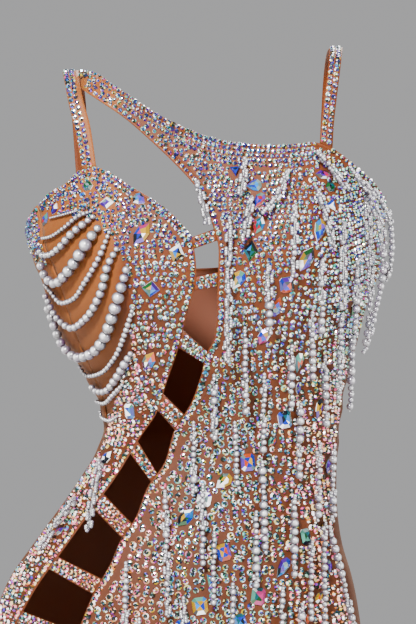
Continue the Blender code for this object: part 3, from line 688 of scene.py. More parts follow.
@dataclass
class Wardrobe:
    """Every finish of the dress, made once."""

    mesh: Finish = field(init=False)
    seam: Finish = field(init=False)
    binding: Finish = field(init=False)
    crystal: Finish = field(init=False)
    stone: Finish = field(init=False)
    pearl: Finish = field(init=False)

    def __post_init__(self) -> None:
        """Make the materials."""
        knit = StretchMesh("stretch_mesh", (0.148, 0.032, 0.0034), (0.07, 0.013, 0.0012)).make()
        fold = StretchMesh("binding", (0.18, 0.0385, 0.005), (0.1, 0.02, 0.0024), 0.0009, 0.55).make()
        self.mesh = Finish(knit, "stretch_mesh")
        self.seam = Finish(knit, "binding")
        self.binding = Finish(fold, "binding")
        self.crystal = Finish(FacetedGlass("crystal", 0.3, 0.1, 1.4).make(), "crystal", rounded=False)
        self.stone = Finish(FacetedGlass("large_stone", 0.2, 0.06, 0.8).make(), "crystal", rounded=False)
        self.pearl = Finish(PearlGloss("pearl").make(), "pearl")


def deselect() -> None:
    """Deselect every object."""
    for other in bpy.context.view_layer.objects:
        other.select_set(False)


def select_only(piece: Piece) -> None:
    """Make one piece the only one selected, and the active one."""
    deselect()
    bpy.context.view_layer.objects.active = piece
    piece.select_set(True)


@contextmanager
def editing(piece: Piece, kind: str = "FACE") -> Iterator[bmesh.types.BMesh]:
    """Edit mode on one piece, with nothing selected at first."""
    select_only(piece)
    bpy.ops.object.mode_set(mode="EDIT")
    bpy.ops.mesh.select_mode(type=kind)
    bpy.ops.mesh.select_all(action="DESELECT")
    yield bmesh.from_edit_mesh(piece.data)
    bpy.ops.object.mode_set(mode="OBJECT")


def pick(piece: Piece, shape: bmesh.types.BMesh, test: Callable[[Vector], bool]) -> None:
    """Select only the faces whose normal passes a test."""
    for face in shape.faces:
        face.select_set(test(face.normal))
    bmesh.update_edit_mesh(piece.data)


@dataclass(frozen=True)
class Pattern:
    """A modelled shape that is read once and copied many times."""

    points: Array
    corners: Array
    sizes: Array
    middles: Array

    @classmethod
    def read(cls, piece: Piece) -> Pattern:
        """Read a piece's mesh and take the piece away."""
        mesh = piece.data
        points = np.array([v.co[:] for v in mesh.vertices])
        corners = np.array([i for face in mesh.polygons for i in face.vertices])
        sizes = np.array([len(face.vertices) for face in mesh.polygons])
        middles = np.array([face.center[:] for face in mesh.polygons])
        bpy.data.objects.remove(piece, do_unlink=True)
        return cls(points, corners, sizes, middles)

    def in_order(self) -> Pattern:
        """The same shape with its points and faces in a fixed order, since extruding leaves them in any."""
        rank = np.lexsort(self.points.round(5).T)
        loops = np.split(np.argsort(rank)[self.corners], np.cumsum(self.sizes)[:-1])
        loops = sorted(np.roll(loop, -int(loop.argmin())).tolist() for loop in loops)
        points = self.points[rank]
        middles = np.array([points[loop].mean(axis=0) for loop in loops])
        return Pattern(points, np.concatenate(loops), np.array([len(loop) for loop in loops]), middles)

    def copies(self, places: Array, axes: Array, sizes: Array, tints: Array) -> Batch:
        """Many copies as one batch.

        Args:
            places: Where each copy stands.
            axes: Each copy's three axes, as rows.
            sizes: Each copy's size along its three axes.
            tints: Colours by copy and face.

        Returns:
            The copies' points, faces and colours.
        """
        scaled = self.points[None] * sizes[:, None, :]
        points = places[:, None] + np.einsum("nvk,nkd->nvd", scaled, axes)
        count = len(places)
        first = (np.arange(count) * len(self.points))[:, None]
        return Batch(
            points.reshape(-1, 3),
            (self.corners[None] + first).ravel(),
            np.tile(self.sizes, count),
            tints.reshape(-1, 3),
        )


@dataclass(frozen=True)
class Batch:
    """Points, and faces given by their corners, with a colour for each face or corner."""

    points: Array
    corners: Array
    sizes: Array
    tints: Array

    def corner_tints(self) -> Array:
        """The colour at each corner, from colours that are given by corner or by face."""
        if len(self.tints) == len(self.corners):
            return self.tints
        return np.repeat(self.tints, self.sizes, axis=0)


@dataclass(frozen=True)
class Finish:
    """A material with the name of a slot, and whether faces shade as one smooth surface."""

    material: bpy.types.Material
    slot: str
    rounded: bool = True


def add_piece(name: str, mesh: bpy.types.Mesh, finish: Finish) -> Piece:
    """One piece of a mesh and a finish, that rides on the dress."""
    mesh.polygons.foreach_set("use_smooth", np.full(len(mesh.polygons), finish.rounded))
    mesh.materials.append(finish.material)
    piece = bpy.data.objects.new(name, mesh)
    bpy.context.scene.collection.objects.link(piece)
    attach(piece, BODY)
    LOG.info("%s: %d faces", name, len(mesh.polygons))
    return piece


def lay_flat(mesh: bpy.types.Mesh, flat: Array) -> None:
    """Give a mesh the flat metres of its points, for the weave."""
    layer = mesh.uv_layers.new(name="flat")
    corners = np.array([loop.vertex_index for loop in mesh.loops])
    layer.data.foreach_set("uv", flat[corners].astype(np.float32).ravel())


def shell(
    name: str, points: Array, faces: Sequence, flat: Array, out: Array, finish: Finish, wall: float
) -> Piece:
    """A shell of cloth with an even wall.

    Args:
        name: The piece's name.
        points: The middle of the wall.
        faces: Its faces, by points.
        flat: The flat metres of each point.
        out: The outward direction at each point.
        finish: The cloth's finish.
        wall: The wall's thickness in metres.

    Returns:
        The piece.
    """
    mesh = bpy.data.meshes.new(name)
    mesh.from_pydata(points.tolist(), [], faces)
    mesh.validate()
    middle = mesh.polygons[len(mesh.polygons) // 2]
    if middle.normal.dot(Vector(out[middle.vertices[0]])) < 0:
        mesh.flip_normals()
    lay_flat(mesh, flat)
    piece = add_piece(name, mesh, finish)
    solidify = piece.modifiers.new("cloth", "SOLIDIFY")
    solidify.thickness, solidify.offset = wall, 0.0
    select_only(piece)
    bpy.ops.object.modifier_apply(modifier=solidify.name)
    return piece


def make_piece(name: str, batches: Sequence[Batch], finish: Finish) -> Piece:
    """One piece from batches.

    Args:
        name: The piece's name.
        batches: What it is made of.
        finish: Its finish.

    Returns:
        The piece.
    """
    firsts = np.concatenate([[0], np.cumsum([len(b.points) for b in batches])])[:-1]
    points = np.concatenate([b.points for b in batches])
    corners = np.concatenate([b.corners + first for b, first in zip(batches, firsts)])
    sizes = np.concatenate([b.sizes for b in batches])
    tints = np.concatenate([b.corner_tints() for b in batches])
    mesh = bpy.data.meshes.new(name)
    mesh.vertices.add(len(points))
    mesh.vertices.foreach_set("co", points.ravel())
    mesh.loops.add(len(corners))
    mesh.loops.foreach_set("vertex_index", corners.astype(np.int32))
    mesh.polygons.add(len(sizes))
    mesh.polygons.foreach_set("loop_start", np.concatenate([[0], np.cumsum(sizes)[:-1]]).astype(np.int32))
    mesh.update(calc_edges=True)
    layer = mesh.color_attributes.new(TINT, "FLOAT_COLOR", "CORNER")
    colours = np.concatenate([tints, np.ones((len(corners), 1))], axis=1)
    layer.data.foreach_set("color", colours.astype(np.float32).ravel())
    mesh.validate()
    return add_piece(name, mesh, finish)


@dataclass
class ClothPanels:
    """The front, the cup with its side strip, and the back, each a thin shell of stretch mesh."""

    form: WornForm
    wardrobe: Wardrobe
    grid: float = 6.5
    edge_step: float = 4.0
    outlines: dict[str, Array] = field(default_factory=dict)

    def flat_edge(self, points: Sequence[Place]) -> Array:
        """Flat places along an edge of the front view."""
        return self.form.front_flat(even(points, self.edge_step))

    def flat_seam(self, top: float, low: float, seam: Seam, outward: int, side: Side) -> Array:
        """Flat places down a side seam, moved to the panel's own side of it."""
        levels = np.linspace(top, low, max(3, int((low - top) / self.edge_step)))
        turn = self.form.seam(levels, seam) + outward * SEAM_SHIFT
        if side is Side.BACK and seam is Seam.LEFT:
            turn = turn + math.tau
        return self.form.flat(turn, levels, side)

    @staticmethod
    def joined(*edges: Array) -> Array:
        """One closed outline from edges that follow on, with points on each other dropped."""
        same = 0.6
        outline: list[Array] = []
        for place in np.concatenate(edges):
            if not outline or np.linalg.norm(place - outline[-1]) > same:
                outline.append(place)
        if np.linalg.norm(outline[0] - outline[-1]) < same:
            outline.pop()
        return np.array(outline)

    def front_outline(self) -> Array:
        """The front's cut, round by the neckline, armhole, seam, hem and cutout."""
        neck, arm, cut = (self.flat_edge(edge) for edge in (NECKLINE, ARMHOLE, CUTOUT_FRONT))
        top = float(self.form.level_of(arm[-1][1])) + 4
        low = float(self.form.level_of(cut[-1][1])) + 6
        right = self.flat_seam(top, HEM, Seam.RIGHT, -1, Side.FRONT)
        left = self.flat_seam(low, HEM, Seam.LEFT, 1, Side.FRONT)
        hem = self.hem_line(right[-1], left[-1])
        return self.joined(neck, arm, right, hem[1:-1], left[::-1], cut[::-1])

    def cup_outline(self) -> Array:
        """The cup's cut, with the side strip that runs down from it."""
        top, cut = self.flat_edge(CUP_TOP), self.flat_edge(CUTOUT_CUP)
        high = float(self.form.level_of(top[0][1])) + 3
        low = float(self.form.level_of(cut[-1][1])) + 4
        return self.joined(top, cut[1:], self.flat_seam(high, low, Seam.LEFT, 1, Side.FRONT)[::-1])

    def back_outline(self) -> Array:
        """The back's cut, from side seam to side seam."""
        form = self.form
        right_top = float(form.back_top(form.seam(BACK_TOP[0][1], Seam.RIGHT)))
        left_top = float(form.back_top(form.seam(BACK_TOP[-1][1], Seam.LEFT) + math.tau))
        right = self.flat_seam(right_top, HEM, Seam.RIGHT, 1, Side.BACK)
        left = self.flat_seam(left_top, HEM, Seam.LEFT, -1, Side.BACK)
        across = np.linspace(right[0][0], left[0][0], int((left[0][0] - right[0][0]) / self.edge_step))
        top = form.flat(across / FLAT_WIDTH, form.back_top(across / FLAT_WIDTH), Side.BACK)
        hem = self.hem_line(right[-1], left[-1])
        return self.joined(right, hem[1:-1], left[::-1], top[::-1][1:-1])

    def hem_line(self, start: Array, end: Array) -> Array:
        """Flat places along the hem."""
        count = max(3, int(abs(end[0] - start[0]) / self.edge_step))
        return np.linspace(start, end, count)

    def panel(self, name: str, outline: Array, side: Side) -> Piece:
        """A thin shell of cloth over a flat outline.

        Args:
            name: The piece's name.
            outline: The cut's flat outline.
            side: Which half of the form it lies on.

        Returns:
            The piece.
        """
        low, high = outline.min(axis=0), outline.max(axis=0)
        spots = []
        for row, y in enumerate(np.arange(low[1] + self.grid / 2, high[1], self.grid * ROW_SHARE)):
            xs = np.arange(low[0] + (row % 2) * self.grid / 2, high[0], self.grid)
            spots.append(np.stack([xs, np.full(len(xs), y)], axis=1))
        spots = np.concatenate(spots)
        spots = spots[inside(spots, outline)]
        spots = spots[distance(spots, outline) > self.grid * 0.4]
        points = [Vector(p) for p in np.concatenate([outline, spots])]
        edges = [(i, (i + 1) % len(outline)) for i in range(len(outline))]
        found, _, faces, _, _, _ = delaunay_2d_cdt(points, edges, [], 1, 1e-5)
        flat = np.array([p[:] for p in found])
        cloth = Cloth(self.form, side)
        self.outlines[name] = outline
        points, out = cloth.point(flat), cloth.normal(flat)
        return shell(name, points, faces, flat * GRADE, out, self.wardrobe.mesh, SHELL)

    def build(self) -> None:
        """Build the three shells and hide the parts of the model that they stand in for."""
        front = self.panel("front_cloth", self.front_outline(), Side.FRONT)
        cup = self.panel("cup_cloth", self.cup_outline(), Side.FRONT)
        back = self.panel("back_cloth", self.back_outline(), Side.BACK)
        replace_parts(front, "front_panel")
        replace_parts(cup, "left_cup")
        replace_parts(back, "back_panel")


@dataclass(frozen=True)
class Ribbon:
    """A strap between two lines of points, read by shares of its length and width."""

    left: Array
    right: Array

    def run(self) -> Array:
        """How far along the strap each pair of points is, in metres."""
        return runs((self.left + self.right) / 2)

    def length(self) -> float:
        """The strap's length in metres."""
        return float(self.run()[-1])

    def width(self) -> float:
        """The strap's mean width in metres."""
        return float(np.linalg.norm(self.left - self.right, axis=1).mean())

    def at(self, share: Array, aside: Array) -> Array:
        """Points at shares along and across."""
        shares = self.run() / self.length()
        aside = np.asarray(aside)[..., None]
        return along(self.left, shares, share) * (1 - aside) + along(self.right, shares, share) * aside

    def frames(self, share: Array, aside: Array, out: Array) -> Array:
        """Axes across, along and out of the strap, as rows, with its outer side as given."""
        way = unit(self.at(np.minimum(share + 0.01, 1), aside) - self.at(np.maximum(share - 0.01, 0), aside))
        across = unit(self.at(share, np.ones_like(share)) - self.at(share, np.zeros_like(share)))
        normal = unit(np.cross(way, across))
        normal = normal * np.sign((normal * out).sum(-1, keepdims=True) + 1e-9)
        return np.stack([across, np.cross(normal, across), normal], axis=-2)


@dataclass
class Straps:
    """The two shoulder straps and the nine ladder straps, of folded stretch binding."""

    form: WornForm
    wardrobe: Wardrobe
    steps: int = 40
    columns: int = 6
    thickness: float = 0.0013
    crown: float = 0.0004
    least: float = 0.0101
    back_across: float = 118.0
    back_width: float = 13.0
    edge_gap: float = 0.75
    ribbons: dict[str, Ribbon] = field(default_factory=dict)

    def back_level(self, across: float) -> float:
        """The level of the back's top edge at a distance across."""
        level = 200.0
        for _ in range(6):
            middle, half = self.form.spread(level)
            level = float(self.form.back_top(math.pi - math.asin((across - float(middle)) / float(half))))
        return level

    def shoulder(self, edges: Sequence[Sequence[float]], lower: Sequence[Place], sign: int) -> Ribbon:
        """A strap from the front's edge over the shoulder to the back's top edge.

        Args:
            edges: Drop, left edge and right edge of the strap in the front view.
            lower: The edge of the front view that it starts from.
            sign: Which side of the back it ends on.

        Returns:
            The strap.
        """
        form = self.form
        rows = np.asarray(edges, float)
        middle = (rows[0, 1] + rows[0, 2]) / 2
        low_arc = float(form.arc_of(rows[-1, 0] + form.shoulder_tilt * middle))
        lower_edge = even(lower, 2)
        sides = []
        for side, aside in ((1, -0.5), (2, 0.5)):
            share = np.linspace(0, 1, self.steps)[:-1]
            down = form.level_of(low_arc * (1 - share)) - form.shoulder_tilt * middle
            across = smooth(rows[:, 0], rows[:, side], down)
            foot = np.interp(across[0], lower_edge[:, 0], lower_edge[:, 1]) - self.edge_gap
            down = np.minimum(np.maximum(down, -60), foot) if foot < down[0] else down
            down[0] = foot
            front = form.off_front(across, down, np.zeros(len(down)))
            share = np.linspace(0, 1, self.steps)
            low = sign * self.back_across + self.back_width * aside
            across = rows[0, side] + (low - rows[0, side]) * share
            arc = (float(form.arc_of(self.back_level(low), Side.BACK)) - self.edge_gap) * share
            centre, half = form.spread(form.level_of(arc, Side.BACK))
            behind = form.at_flat(np.arcsin((across - centre) / half), -arc)
            sides.append(np.concatenate([front, behind]))
        return Ribbon(*sides)

    def ladder(self, cup_top: float, cup_low: float, front_top: float, front_low: float) -> Ribbon:
        """A strap over the cutout, its ends along the edges of the cup and of the front."""
        cup, front = even(CUTOUT_CUP, 2), even(CUTOUT_FRONT, 2)
        sides = []
        share = np.linspace(0, 1, 12)
        for cup_down, front_down in ((cup_top, front_top), (cup_low, front_low)):
            start = np.interp(cup_down, cup[:, 1], cup[:, 0]) + self.edge_gap
            end = np.interp(front_down, front[:, 1], front[:, 0]) - self.edge_gap
            across = start + (end - start) * share
            down = cup_down + (front_down - cup_down) * share
            sides.append(self.form.off_front(across, down, np.zeros(len(share))))
        return Ribbon(*sides)

    def piece(self, name: str, ribbon: Ribbon, node: str) -> Piece:
        """A crowned shell over a ribbon, which stands for a solid strap."""
        share = np.linspace(0, 1, len(ribbon.left))
        aside = np.linspace(0, 1, self.columns)
        grid = np.stack(np.meshgrid(share, aside, indexing="ij"), axis=-1).reshape(-1, 2)
        out = self.outward(ribbon.at(grid[:, 0], grid[:, 1]))
        axes = ribbon.frames(grid[:, 0], grid[:, 1], out)
        rise = self.crown * (1 - (2 * grid[:, 1] - 1) ** 2)
        points = ribbon.at(grid[:, 0], grid[:, 1]) + axes[:, 2] * rise[:, None]
        faces = []
        for i in range(len(share) - 1):
            for j in range(self.columns - 1):
                a = i * self.columns + j
                faces.append((a, a + 1, a + 1 + self.columns, a + self.columns))
        flat = grid[:, ::-1] * [ribbon.width(), ribbon.length()]
        piece = shell(name, points, faces, flat, axes[:, 2], self.wardrobe.binding, self.thickness)
        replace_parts(piece, node)
        width, length = max(ribbon.width(), self.least), max(ribbon.length(), self.least)
        area = min(ribbon.width() * ribbon.length(), width * length)
        self.ribbons[name] = ribbon
        return piece

    @staticmethod
    def outward(points: Array) -> Array:
        """Directions away from the middle of the dress, and up over the shoulders."""
        out = points * [1.0, 1.0, 0.0]
        out[:, 2] = np.where(np.abs(points[:, 1]) < 0.05, 0.05, 0.0)
        return out

    def build(self) -> None:
        """Build every strap."""
        self.piece("shoulder_strap_left", self.shoulder(LEFT_STRAP, CUP_TOP, -1), "strap_left")
        self.piece("shoulder_strap_right", self.shoulder(RIGHT_STRAP, NECKLINE + ARMHOLE, 1), "strap_right")
        for number, drops in enumerate(LADDERS, 1):
            self.piece(f"ladder_{number}", self.ladder(*drops), f"ladder_strap_{number}")
        LOG.info("straps: %d", len(self.ribbons))


def tube(path: Array, aside: Array, out: Array, half: Array, thick: Array, sides: int) -> Batch:
    """A closed tube of an oval section along a path.

    Args:
        path: The tube's middle.
        aside: Direction of the section's width at each point.
        out: Direction of its thickness.
        half: Half the width at each point.
        thick: Half the thickness at each point.
        sides: How many sides it has.

    Returns:
        The tube, with no colour of its own.
    """
    angles = math.tau * np.arange(sides) / sides
    ring = aside[:, None] * (np.cos(angles)[:, None] * half[:, None, None])
    ring = ring + out[:, None] * (np.sin(angles)[:, None] * thick[:, None, None])
    points = (path[:, None] + ring).reshape(-1, 3)
    count = len(path)
    i, k = np.meshgrid(np.arange(count - 1), np.arange(sides), indexing="ij")
    a, b = i * sides + k, i * sides + (k + 1) % sides
    quads = np.stack([a, b, b + sides, a + sides], axis=-1).reshape(-1, 4)
    caps = np.concatenate([np.arange(sides)[::-1], (count - 1) * sides + np.arange(sides)])
    way = path[min(1, count - 1)] - path[0]
    if np.dot(np.cross(aside[0], out[0]), way) < 0:
        quads = quads[:, ::-1]
        caps = np.concatenate([np.arange(sides), (count - 1) * sides + np.arange(sides)[::-1]])
    corners = np.concatenate([quads.ravel(), caps])
    sizes = np.concatenate([np.full(len(quads), 4), [sides, sides]])
    return Batch(points, corners, sizes, np.full((len(sizes), 3), 0.8))


@dataclass
class Bindings:
    """Folded binding along every raw edge, and the side seams."""

    form: WornForm
    wardrobe: Wardrobe
    panels: ClothPanels
    half: float = 1.5
    thick: float = 0.8
    inset: float = 0.7
    sides: int = 10
    end_share: float = 0.55
    seam_half: float = 0.0006
    seam_thick: float = 0.0002
    girth: float = 0.012

    def along(self, name: str, flat: Array, side: Side, inward: int) -> Piece:
        """A binding over a line of flat places.

        Args:
            name: The piece's name.
            flat: The flat places.
            side: Which half of the form they lie on.
            inward: Which side of the line the cloth is on, or 0 where the binding sits on the line.

        Returns:
            The piece.
        """
        cloth = Cloth(self.form, side)
        line = cloth.point(flat)
        normal = cloth.normal(flat)
        way = unit(np.gradient(line, axis=0))
        aside = unit(np.cross(normal, way))
        path = line + aside * inward * self.inset * GRADE
        ends = np.minimum(np.arange(len(path)), np.arange(len(path))[::-1])
        swell = np.clip(self.end_share + (1 - self.end_share) * ends / 2, 0, 1)
        half, thick = (self.half * GRADE, self.thick * GRADE) if inward else (self.seam_half, self.seam_thick)
        batch = tube(path, aside, normal, half * swell, thick * swell, self.sides)
        piece = make_piece(name, [batch], self.wardrobe.binding if inward else self.wardrobe.seam)
        around = np.tile(np.arange(self.sides) / self.sides * self.girth, len(path))
        lay_flat(piece.data, np.stack([around, np.repeat(runs(path), self.sides)], axis=1))
        return piece

    def build(self) -> None:
        """Build the bindings and the seams."""
        form = self.form
        for name, edge, inward in (
            ("neckline", NECKLINE, -1), ("armhole", (NECKLINE[-1], *ARMHOLE), -1),
            ("cutout_front", CUTOUT_FRONT, 1), ("cup_top", CUP_TOP, -1), ("cutout_cup", CUTOUT_CUP, -1),
        ):
            self.along(f"binding_{name}", self.panels.flat_edge(edge), Side.FRONT, inward)
        front, back = self.hem(self.panels.front_outline()), self.hem(self.panels.back_outline())
        self.along("binding_hem_front", front, Side.FRONT, 1)
        self.along("binding_hem_back", back[np.argsort(back[:, 0])], Side.BACK, -1)
        turns = np.linspace(*form.back_ends(), 140)
        self.along("binding_back_top", form.flat(turns, form.back_top(turns), Side.BACK), Side.BACK, -1)
        levels = np.linspace(150, HEM, 170)
        for seam in Seam:
            flat = form.flat(form.seam(levels, seam), levels)
            self.along(f"side_seam_{seam.name.lower()}", flat, Side.FRONT, 0)

    @staticmethod
    def hem(outline: Array) -> Array:
        """The places of an outline that are on the hem."""
        return outline[np.abs(outline[:, 1] - outline[:, 1].max()) < 0.01]


class Tone(Enum):
    """The colours of the stones' facets, as linear values: the glass's own colours, with WHITE as a painted
    highlight and DARK as a painted dark reflection.
    """

    BLUE = (0.0, 0.015, 0.26)
    PURPLE = (0.04, 0.0, 0.17)
    TEAL = (0.0, 0.06, 0.075)
    GREEN = (0.0, 0.045, 0.006)
    YELLOW = (0.32, 0.175, 0.0)
    ORANGE = (0.34, 0.035, 0.0)
    RED = (0.26, 0.0, 0.01)
    PINK = (0.28, 0.012, 0.1)
    WHITE = (1.0, 1.0, 1.0)
    CLEAR = (0.1, 0.155, 0.15)
    DARK = (0.002, 0.004, 0.008)
    LILAC = (0.08, 0.03, 0.3)
    SKY = (0.0, 0.13, 0.4)
    MINT = (0.05, 0.22, 0.16)


# A letter for each tone, in their order
KEYS = dict(zip("BPTGYORKWCDLSM", Tone))
# Tones of the rim's facets with their shares, among them white painted highlights and dark painted
# reflections
RIM = ((Tone.WHITE, 0.34), (Tone.CLEAR, 0.28), (Tone.MINT, 0.12), (Tone.LILAC, 0.12), (Tone.DARK, 0.14))

# Large stones: cut, across, down, length, width, turn in degrees and the tones of the inner facets
FRONT_STONES = (
    ("triangle", 30, 114, 11, 11, 0, "BBD"), ("pear", 48, 128, 15, 12, 180, "CBS"),
    ("marquise", 53, 167, 19, 11, -65, "TSTR"), ("rhombus", 45, 192, 21, 15, -77, "TGSD"),
    ("pear", 32, 221, 20, 13, 121, "BYGS"), ("rect", 80, 225, 16, 14, 82, "ODPB"),
    ("pear", 70, 246, 21, 11, -72, "SBOC"), ("marquise", 58, 275, 20, 12, -63, "BKYP"),
    ("marquise", 99, 200, 27, 15, -60, "YBLDG"), ("pear", 112, 172, 23, 13, 111, "SBLY"),
    ("triangle", 124, 148, 12, 12, -30, "BSW"), ("marquise", 116, 117, 18, 9, 8, "RKDP"),
    ("pear", 92, 302, 20, 10, 95, "OTOM"), ("rhombus", 147, 247, 18, 10, -80, "GPLD"),
    ("rect", 78, 358, 17, 14, 80, "WSTDB"), ("pear", 112, 348, 21, 9, 103, "YPYD"),
    ("marquise", 66, 379, 13, 8, -50, "OTDM"), ("rect", 42, 400, 17, 14, 85, "YBOB"),
    ("pear", 18, 419, 19, 13, 140, "WYGW"), ("rect", -1, 436, 14, 14, 10, "CWW"),
    ("rect", 18, 488, 17, 13, 75, "YBOB"), ("pear", 76, 504, 23, 11, 127, "BPSC"),
    ("rect", 99, 474, 16, 12, 80, "TGMD"), ("rect", 52, 531, 17, 14, 100, "KTGK"),
    ("rect", -5, 540, 17, 15, 82, "YBYS"), ("marquise", -19, 454, 23, 13, -48, "SYDGB"),
    ("rect", -21, 560, 14, 14, 80, "BPBS"), ("pear", 30, 600, 18, 11, 140, "BYS"),
    ("rect", -90, 620, 14, 14, 70, "OBS"), ("marquise", 95, 640, 20, 11, -60, "GYB"),
    ("rhombus", -20, 665, 17, 14, -75, "PTL"), ("pear", 50, 705, 20, 12, 120, "YGM"),
    ("rect", -120, 690, 14, 14, 80, "BSY"), ("marquise", 120, 715, 20, 11, -60, "OTW"),
    ("pear", 53, 143, 16, 10, 122, "BRL"), ("round", 123, 129, 12, 11, 0, "TDG"),
    ("marquise", 91, 327, 12, 5, 90, "DPB"), ("marquise", 121, 405, 15, 6, -75, "PLP"),
    ("marquise", 122, 504, 14, 5, -80, "LPP"), ("pear", 112, 533, 14, 8, -55, "YTO"),
    ("triangle", 6, 516, 13, 12, 20, "BWS"), ("rect", 34, 555, 14, 12, 75, "SDBT"),
    ("marquise", 100, 555, 10, 5, 90, "OYO"),
)
CUP_STONES = (
    ("round", -115, 128, 12, 10, 0, "CGT"), ("rhombus", -96, 145, 16, 12, 0, "LCLP"),
    ("pear", -64, 142, 13, 12, 40, "BLSC"), ("marquise", -62, 176, 27, 14, -51, "YKBDWY"),
    ("rhombus", -28, 194, 20, 16, -70, "YDBWS"), ("rhombus", -53, 229, 18, 17, 10, "TSBPYG"),
    ("marquise", -55, 300, 24, 13, -57, "WDPSOY"), ("rect", -74, 350, 15, 12, 90, "WSBW"),
    ("marquise", -97, 397, 17, 13, -60, "DBW"), ("marquise", -144, 470, 14, 7, -40, "PKO"),
    ("round", -120, 137, 7, 6, 0, "BSB"), ("marquise", -148, 150, 13, 7, -55, "BPD"),
    ("marquise", -157, 160, 15, 7, -60, "DBPR"),
)
# Outlines of the cuts, as shares of half the length and half the width
CUTS = {
    "marquise": ((1, 0), (0.35, 0.9), (-0.35, 0.9), (-1, 0), (-0.35, -0.9), (0.35, -0.9)),
    "pear": ((1, 0), (0.3, 0.75), (-0.5, 1), (-1, 0.4), (-1, -0.4), (-0.5, -1), (0.3, -0.75)),
    "rhombus": ((1, 0), (0, 1), (-1, 0), (0, -1)),
    "rect": ((1, 0.6), (0.7, 1), (-0.7, 1), (-1, 0.6), (-1, -0.6), (-0.7, -1), (0.7, -1), (1, -0.6)),
    "triangle": ((0, 1), (-1, -0.8), (1, -0.8)),
    "round": ((1, 0), (0.5, 0.87), (-0.5, 0.87), (-1, 0), (-0.5, -0.87), (0.5, -0.87)),
}


@dataclass
class LargeStones:
    """The fancy-cut stones, each with a girdle, a crown and a parted table."""

    form: WornForm
    wardrobe: Wardrobe
    girdle: float = 0.35
    height: float = 1.0
    table: float = 0.56
    strong: float = 0.72
    real_height: float = 0.0032
    sunk: float = 0.0002
    patterns: dict[str, Pattern] = field(default_factory=dict)

    def model(self, cut: str) -> Pattern:
        """One stone of a cut, of half length and half width 1 and of height 1."""
        ring = CUTS[cut]
        deselect()
        bpy.ops.mesh.primitive_circle_add(vertices=len(ring), radius=1.0, fill_type="NGON")
        piece = bpy.context.object
        with editing(piece, "VERT") as shape:
            shape.verts.ensure_lookup_table()
            order = sorted(shape.verts, key=lambda v: math.atan2(v.co.y, v.co.x) % math.tau)
            targets = sorted(((x, -y) for x, y in ring), key=lambda p: math.atan2(p[1], p[0]) % math.tau)
            for vert, (along, aside) in zip(order, targets):
                vert.co = (along, aside, 0.0)
            bmesh.update_edit_mesh(piece.data)
            bpy.ops.mesh.select_mode(type="FACE")
            bpy.ops.mesh.select_all(action="SELECT")
            for rise in (self.girdle, self.height - self.girdle):
                bpy.ops.mesh.extrude_region_move(TRANSFORM_OT_translate={"value": (0, 0, rise)})
            bpy.ops.transform.resize(value=(self.table, self.table, 1.0), center_override=(0, 0, self.height))
            bpy.ops.mesh.poke(offset=0.0)
            bpy.ops.mesh.select_all(action="SELECT")
            bpy.ops.mesh.normals_make_consistent(inside=False)
        return Pattern.read(piece).in_order()

    def tints(self, pattern: Pattern, keys: str, rng: np.random.Generator) -> Array:
        """Colours for a stone's facets: strong in the table and most of the crown, with a thin pale rim whose
        white and dark facets are painted highlights and reflections.
        """
        tones = [np.array(KEYS[key].value) for key in keys]
        pale = np.array([tone.value for tone, _ in RIM])
        shares = [share for _, share in RIM]
        colours = np.zeros((len(pattern.sizes), 3))
        around = np.arctan2(pattern.middles[:, 1], pattern.middles[:, 0]) + rng.uniform(0, math.tau)
        part = np.floor((around % math.tau) / math.tau * len(tones)).astype(int) % len(tones)
        for face, middle in enumerate(pattern.middles):
            if middle[2] > self.height * 0.97:
                colours[face] = tones[part[face]] * rng.uniform(0.7, 1.3)
            elif middle[2] > self.girdle and rng.random() < self.strong:
                colours[face] = tones[(part[face] + 1) % len(tones)] * rng.uniform(0.5, 1.2)
            else:
                colours[face] = pale[rng.choice(len(pale), p=shares)] * rng.uniform(0.5, 1.0)
        return np.clip(colours, 0, 1)

    def build(self, name: str, stones: Sequence[tuple]) -> Piece:
        """Set the stones of one panel on the cloth."""
        rng = np.random.default_rng(SEED + len(stones))
        cloth = Cloth(self.form, Side.FRONT)
        batches = []
        for cut, across, down, length, width, turn, keys in stones:
            if cut not in self.patterns:
                self.patterns[cut] = self.model(cut)
            pattern = self.patterns[cut]
            flat = self.form.front_flat(np.array([[across, down]], float))
            place = cloth.point(flat, SHELL / 2 - self.sunk)
            axes = cloth.frames(flat, np.array([-math.radians(turn)]))
            size = np.array([[length / 2 * GRADE, width / 2 * GRADE, self.real_height]])
            batches.append(pattern.copies(place, axes, size, self.tints(pattern, keys, rng)[None]))
        return make_piece(name, batches, self.wardrobe.stone)


Pool = tuple[tuple[Colour, float], ...]
Keep = Callable[[Array, Array], Array]

# Tones of the small crystals' facets with their shares: the coating's tints, with white facets as painted
# highlights, the dark pools as painted dark reflections and the glint pools as painted glints
MINT_PALE: Pool = (
    ((1.0, 1.0, 1.0), 0.32), ((0.2, 0.44, 0.31), 0.32), ((0.15, 0.32, 0.5), 0.12), ((0.5, 0.44, 0.15), 0.16),
    ((0.3, 0.2, 0.5), 0.08),
)
ROSY_PALE: Pool = (
    ((1.0, 1.0, 1.0), 0.32), ((0.7, 0.34, 0.22), 0.26), ((0.66, 0.18, 0.28), 0.2), ((0.6, 0.46, 0.2), 0.22),
)
NAVY_DARK: Pool = (
    ((0.004, 0.008, 0.07), 0.36), ((0.03, 0.002, 0.08), 0.26), ((0.002, 0.016, 0.016), 0.2),
    ((0.008, 0.006, 0.004), 0.18),
)
GREEN_DARK: Pool = (
    ((0.002, 0.018, 0.013), 0.42), ((0.004, 0.005, 0.005), 0.28), ((0.002, 0.01, 0.03), 0.14),
    ((0.03, 0.012, 0.002), 0.16),
)
COOL_GLINT: Pool = (
    ((0.0, 0.16, 0.32), 0.26), ((0.008, 0.22, 0.15), 0.2), ((0.1, 0.01, 0.34), 0.18),
    ((0.42, 0.28, 0.005), 0.16), ((0.42, 0.02, 0.18), 0.12), ((0.005, 0.03, 0.36), 0.08),
)
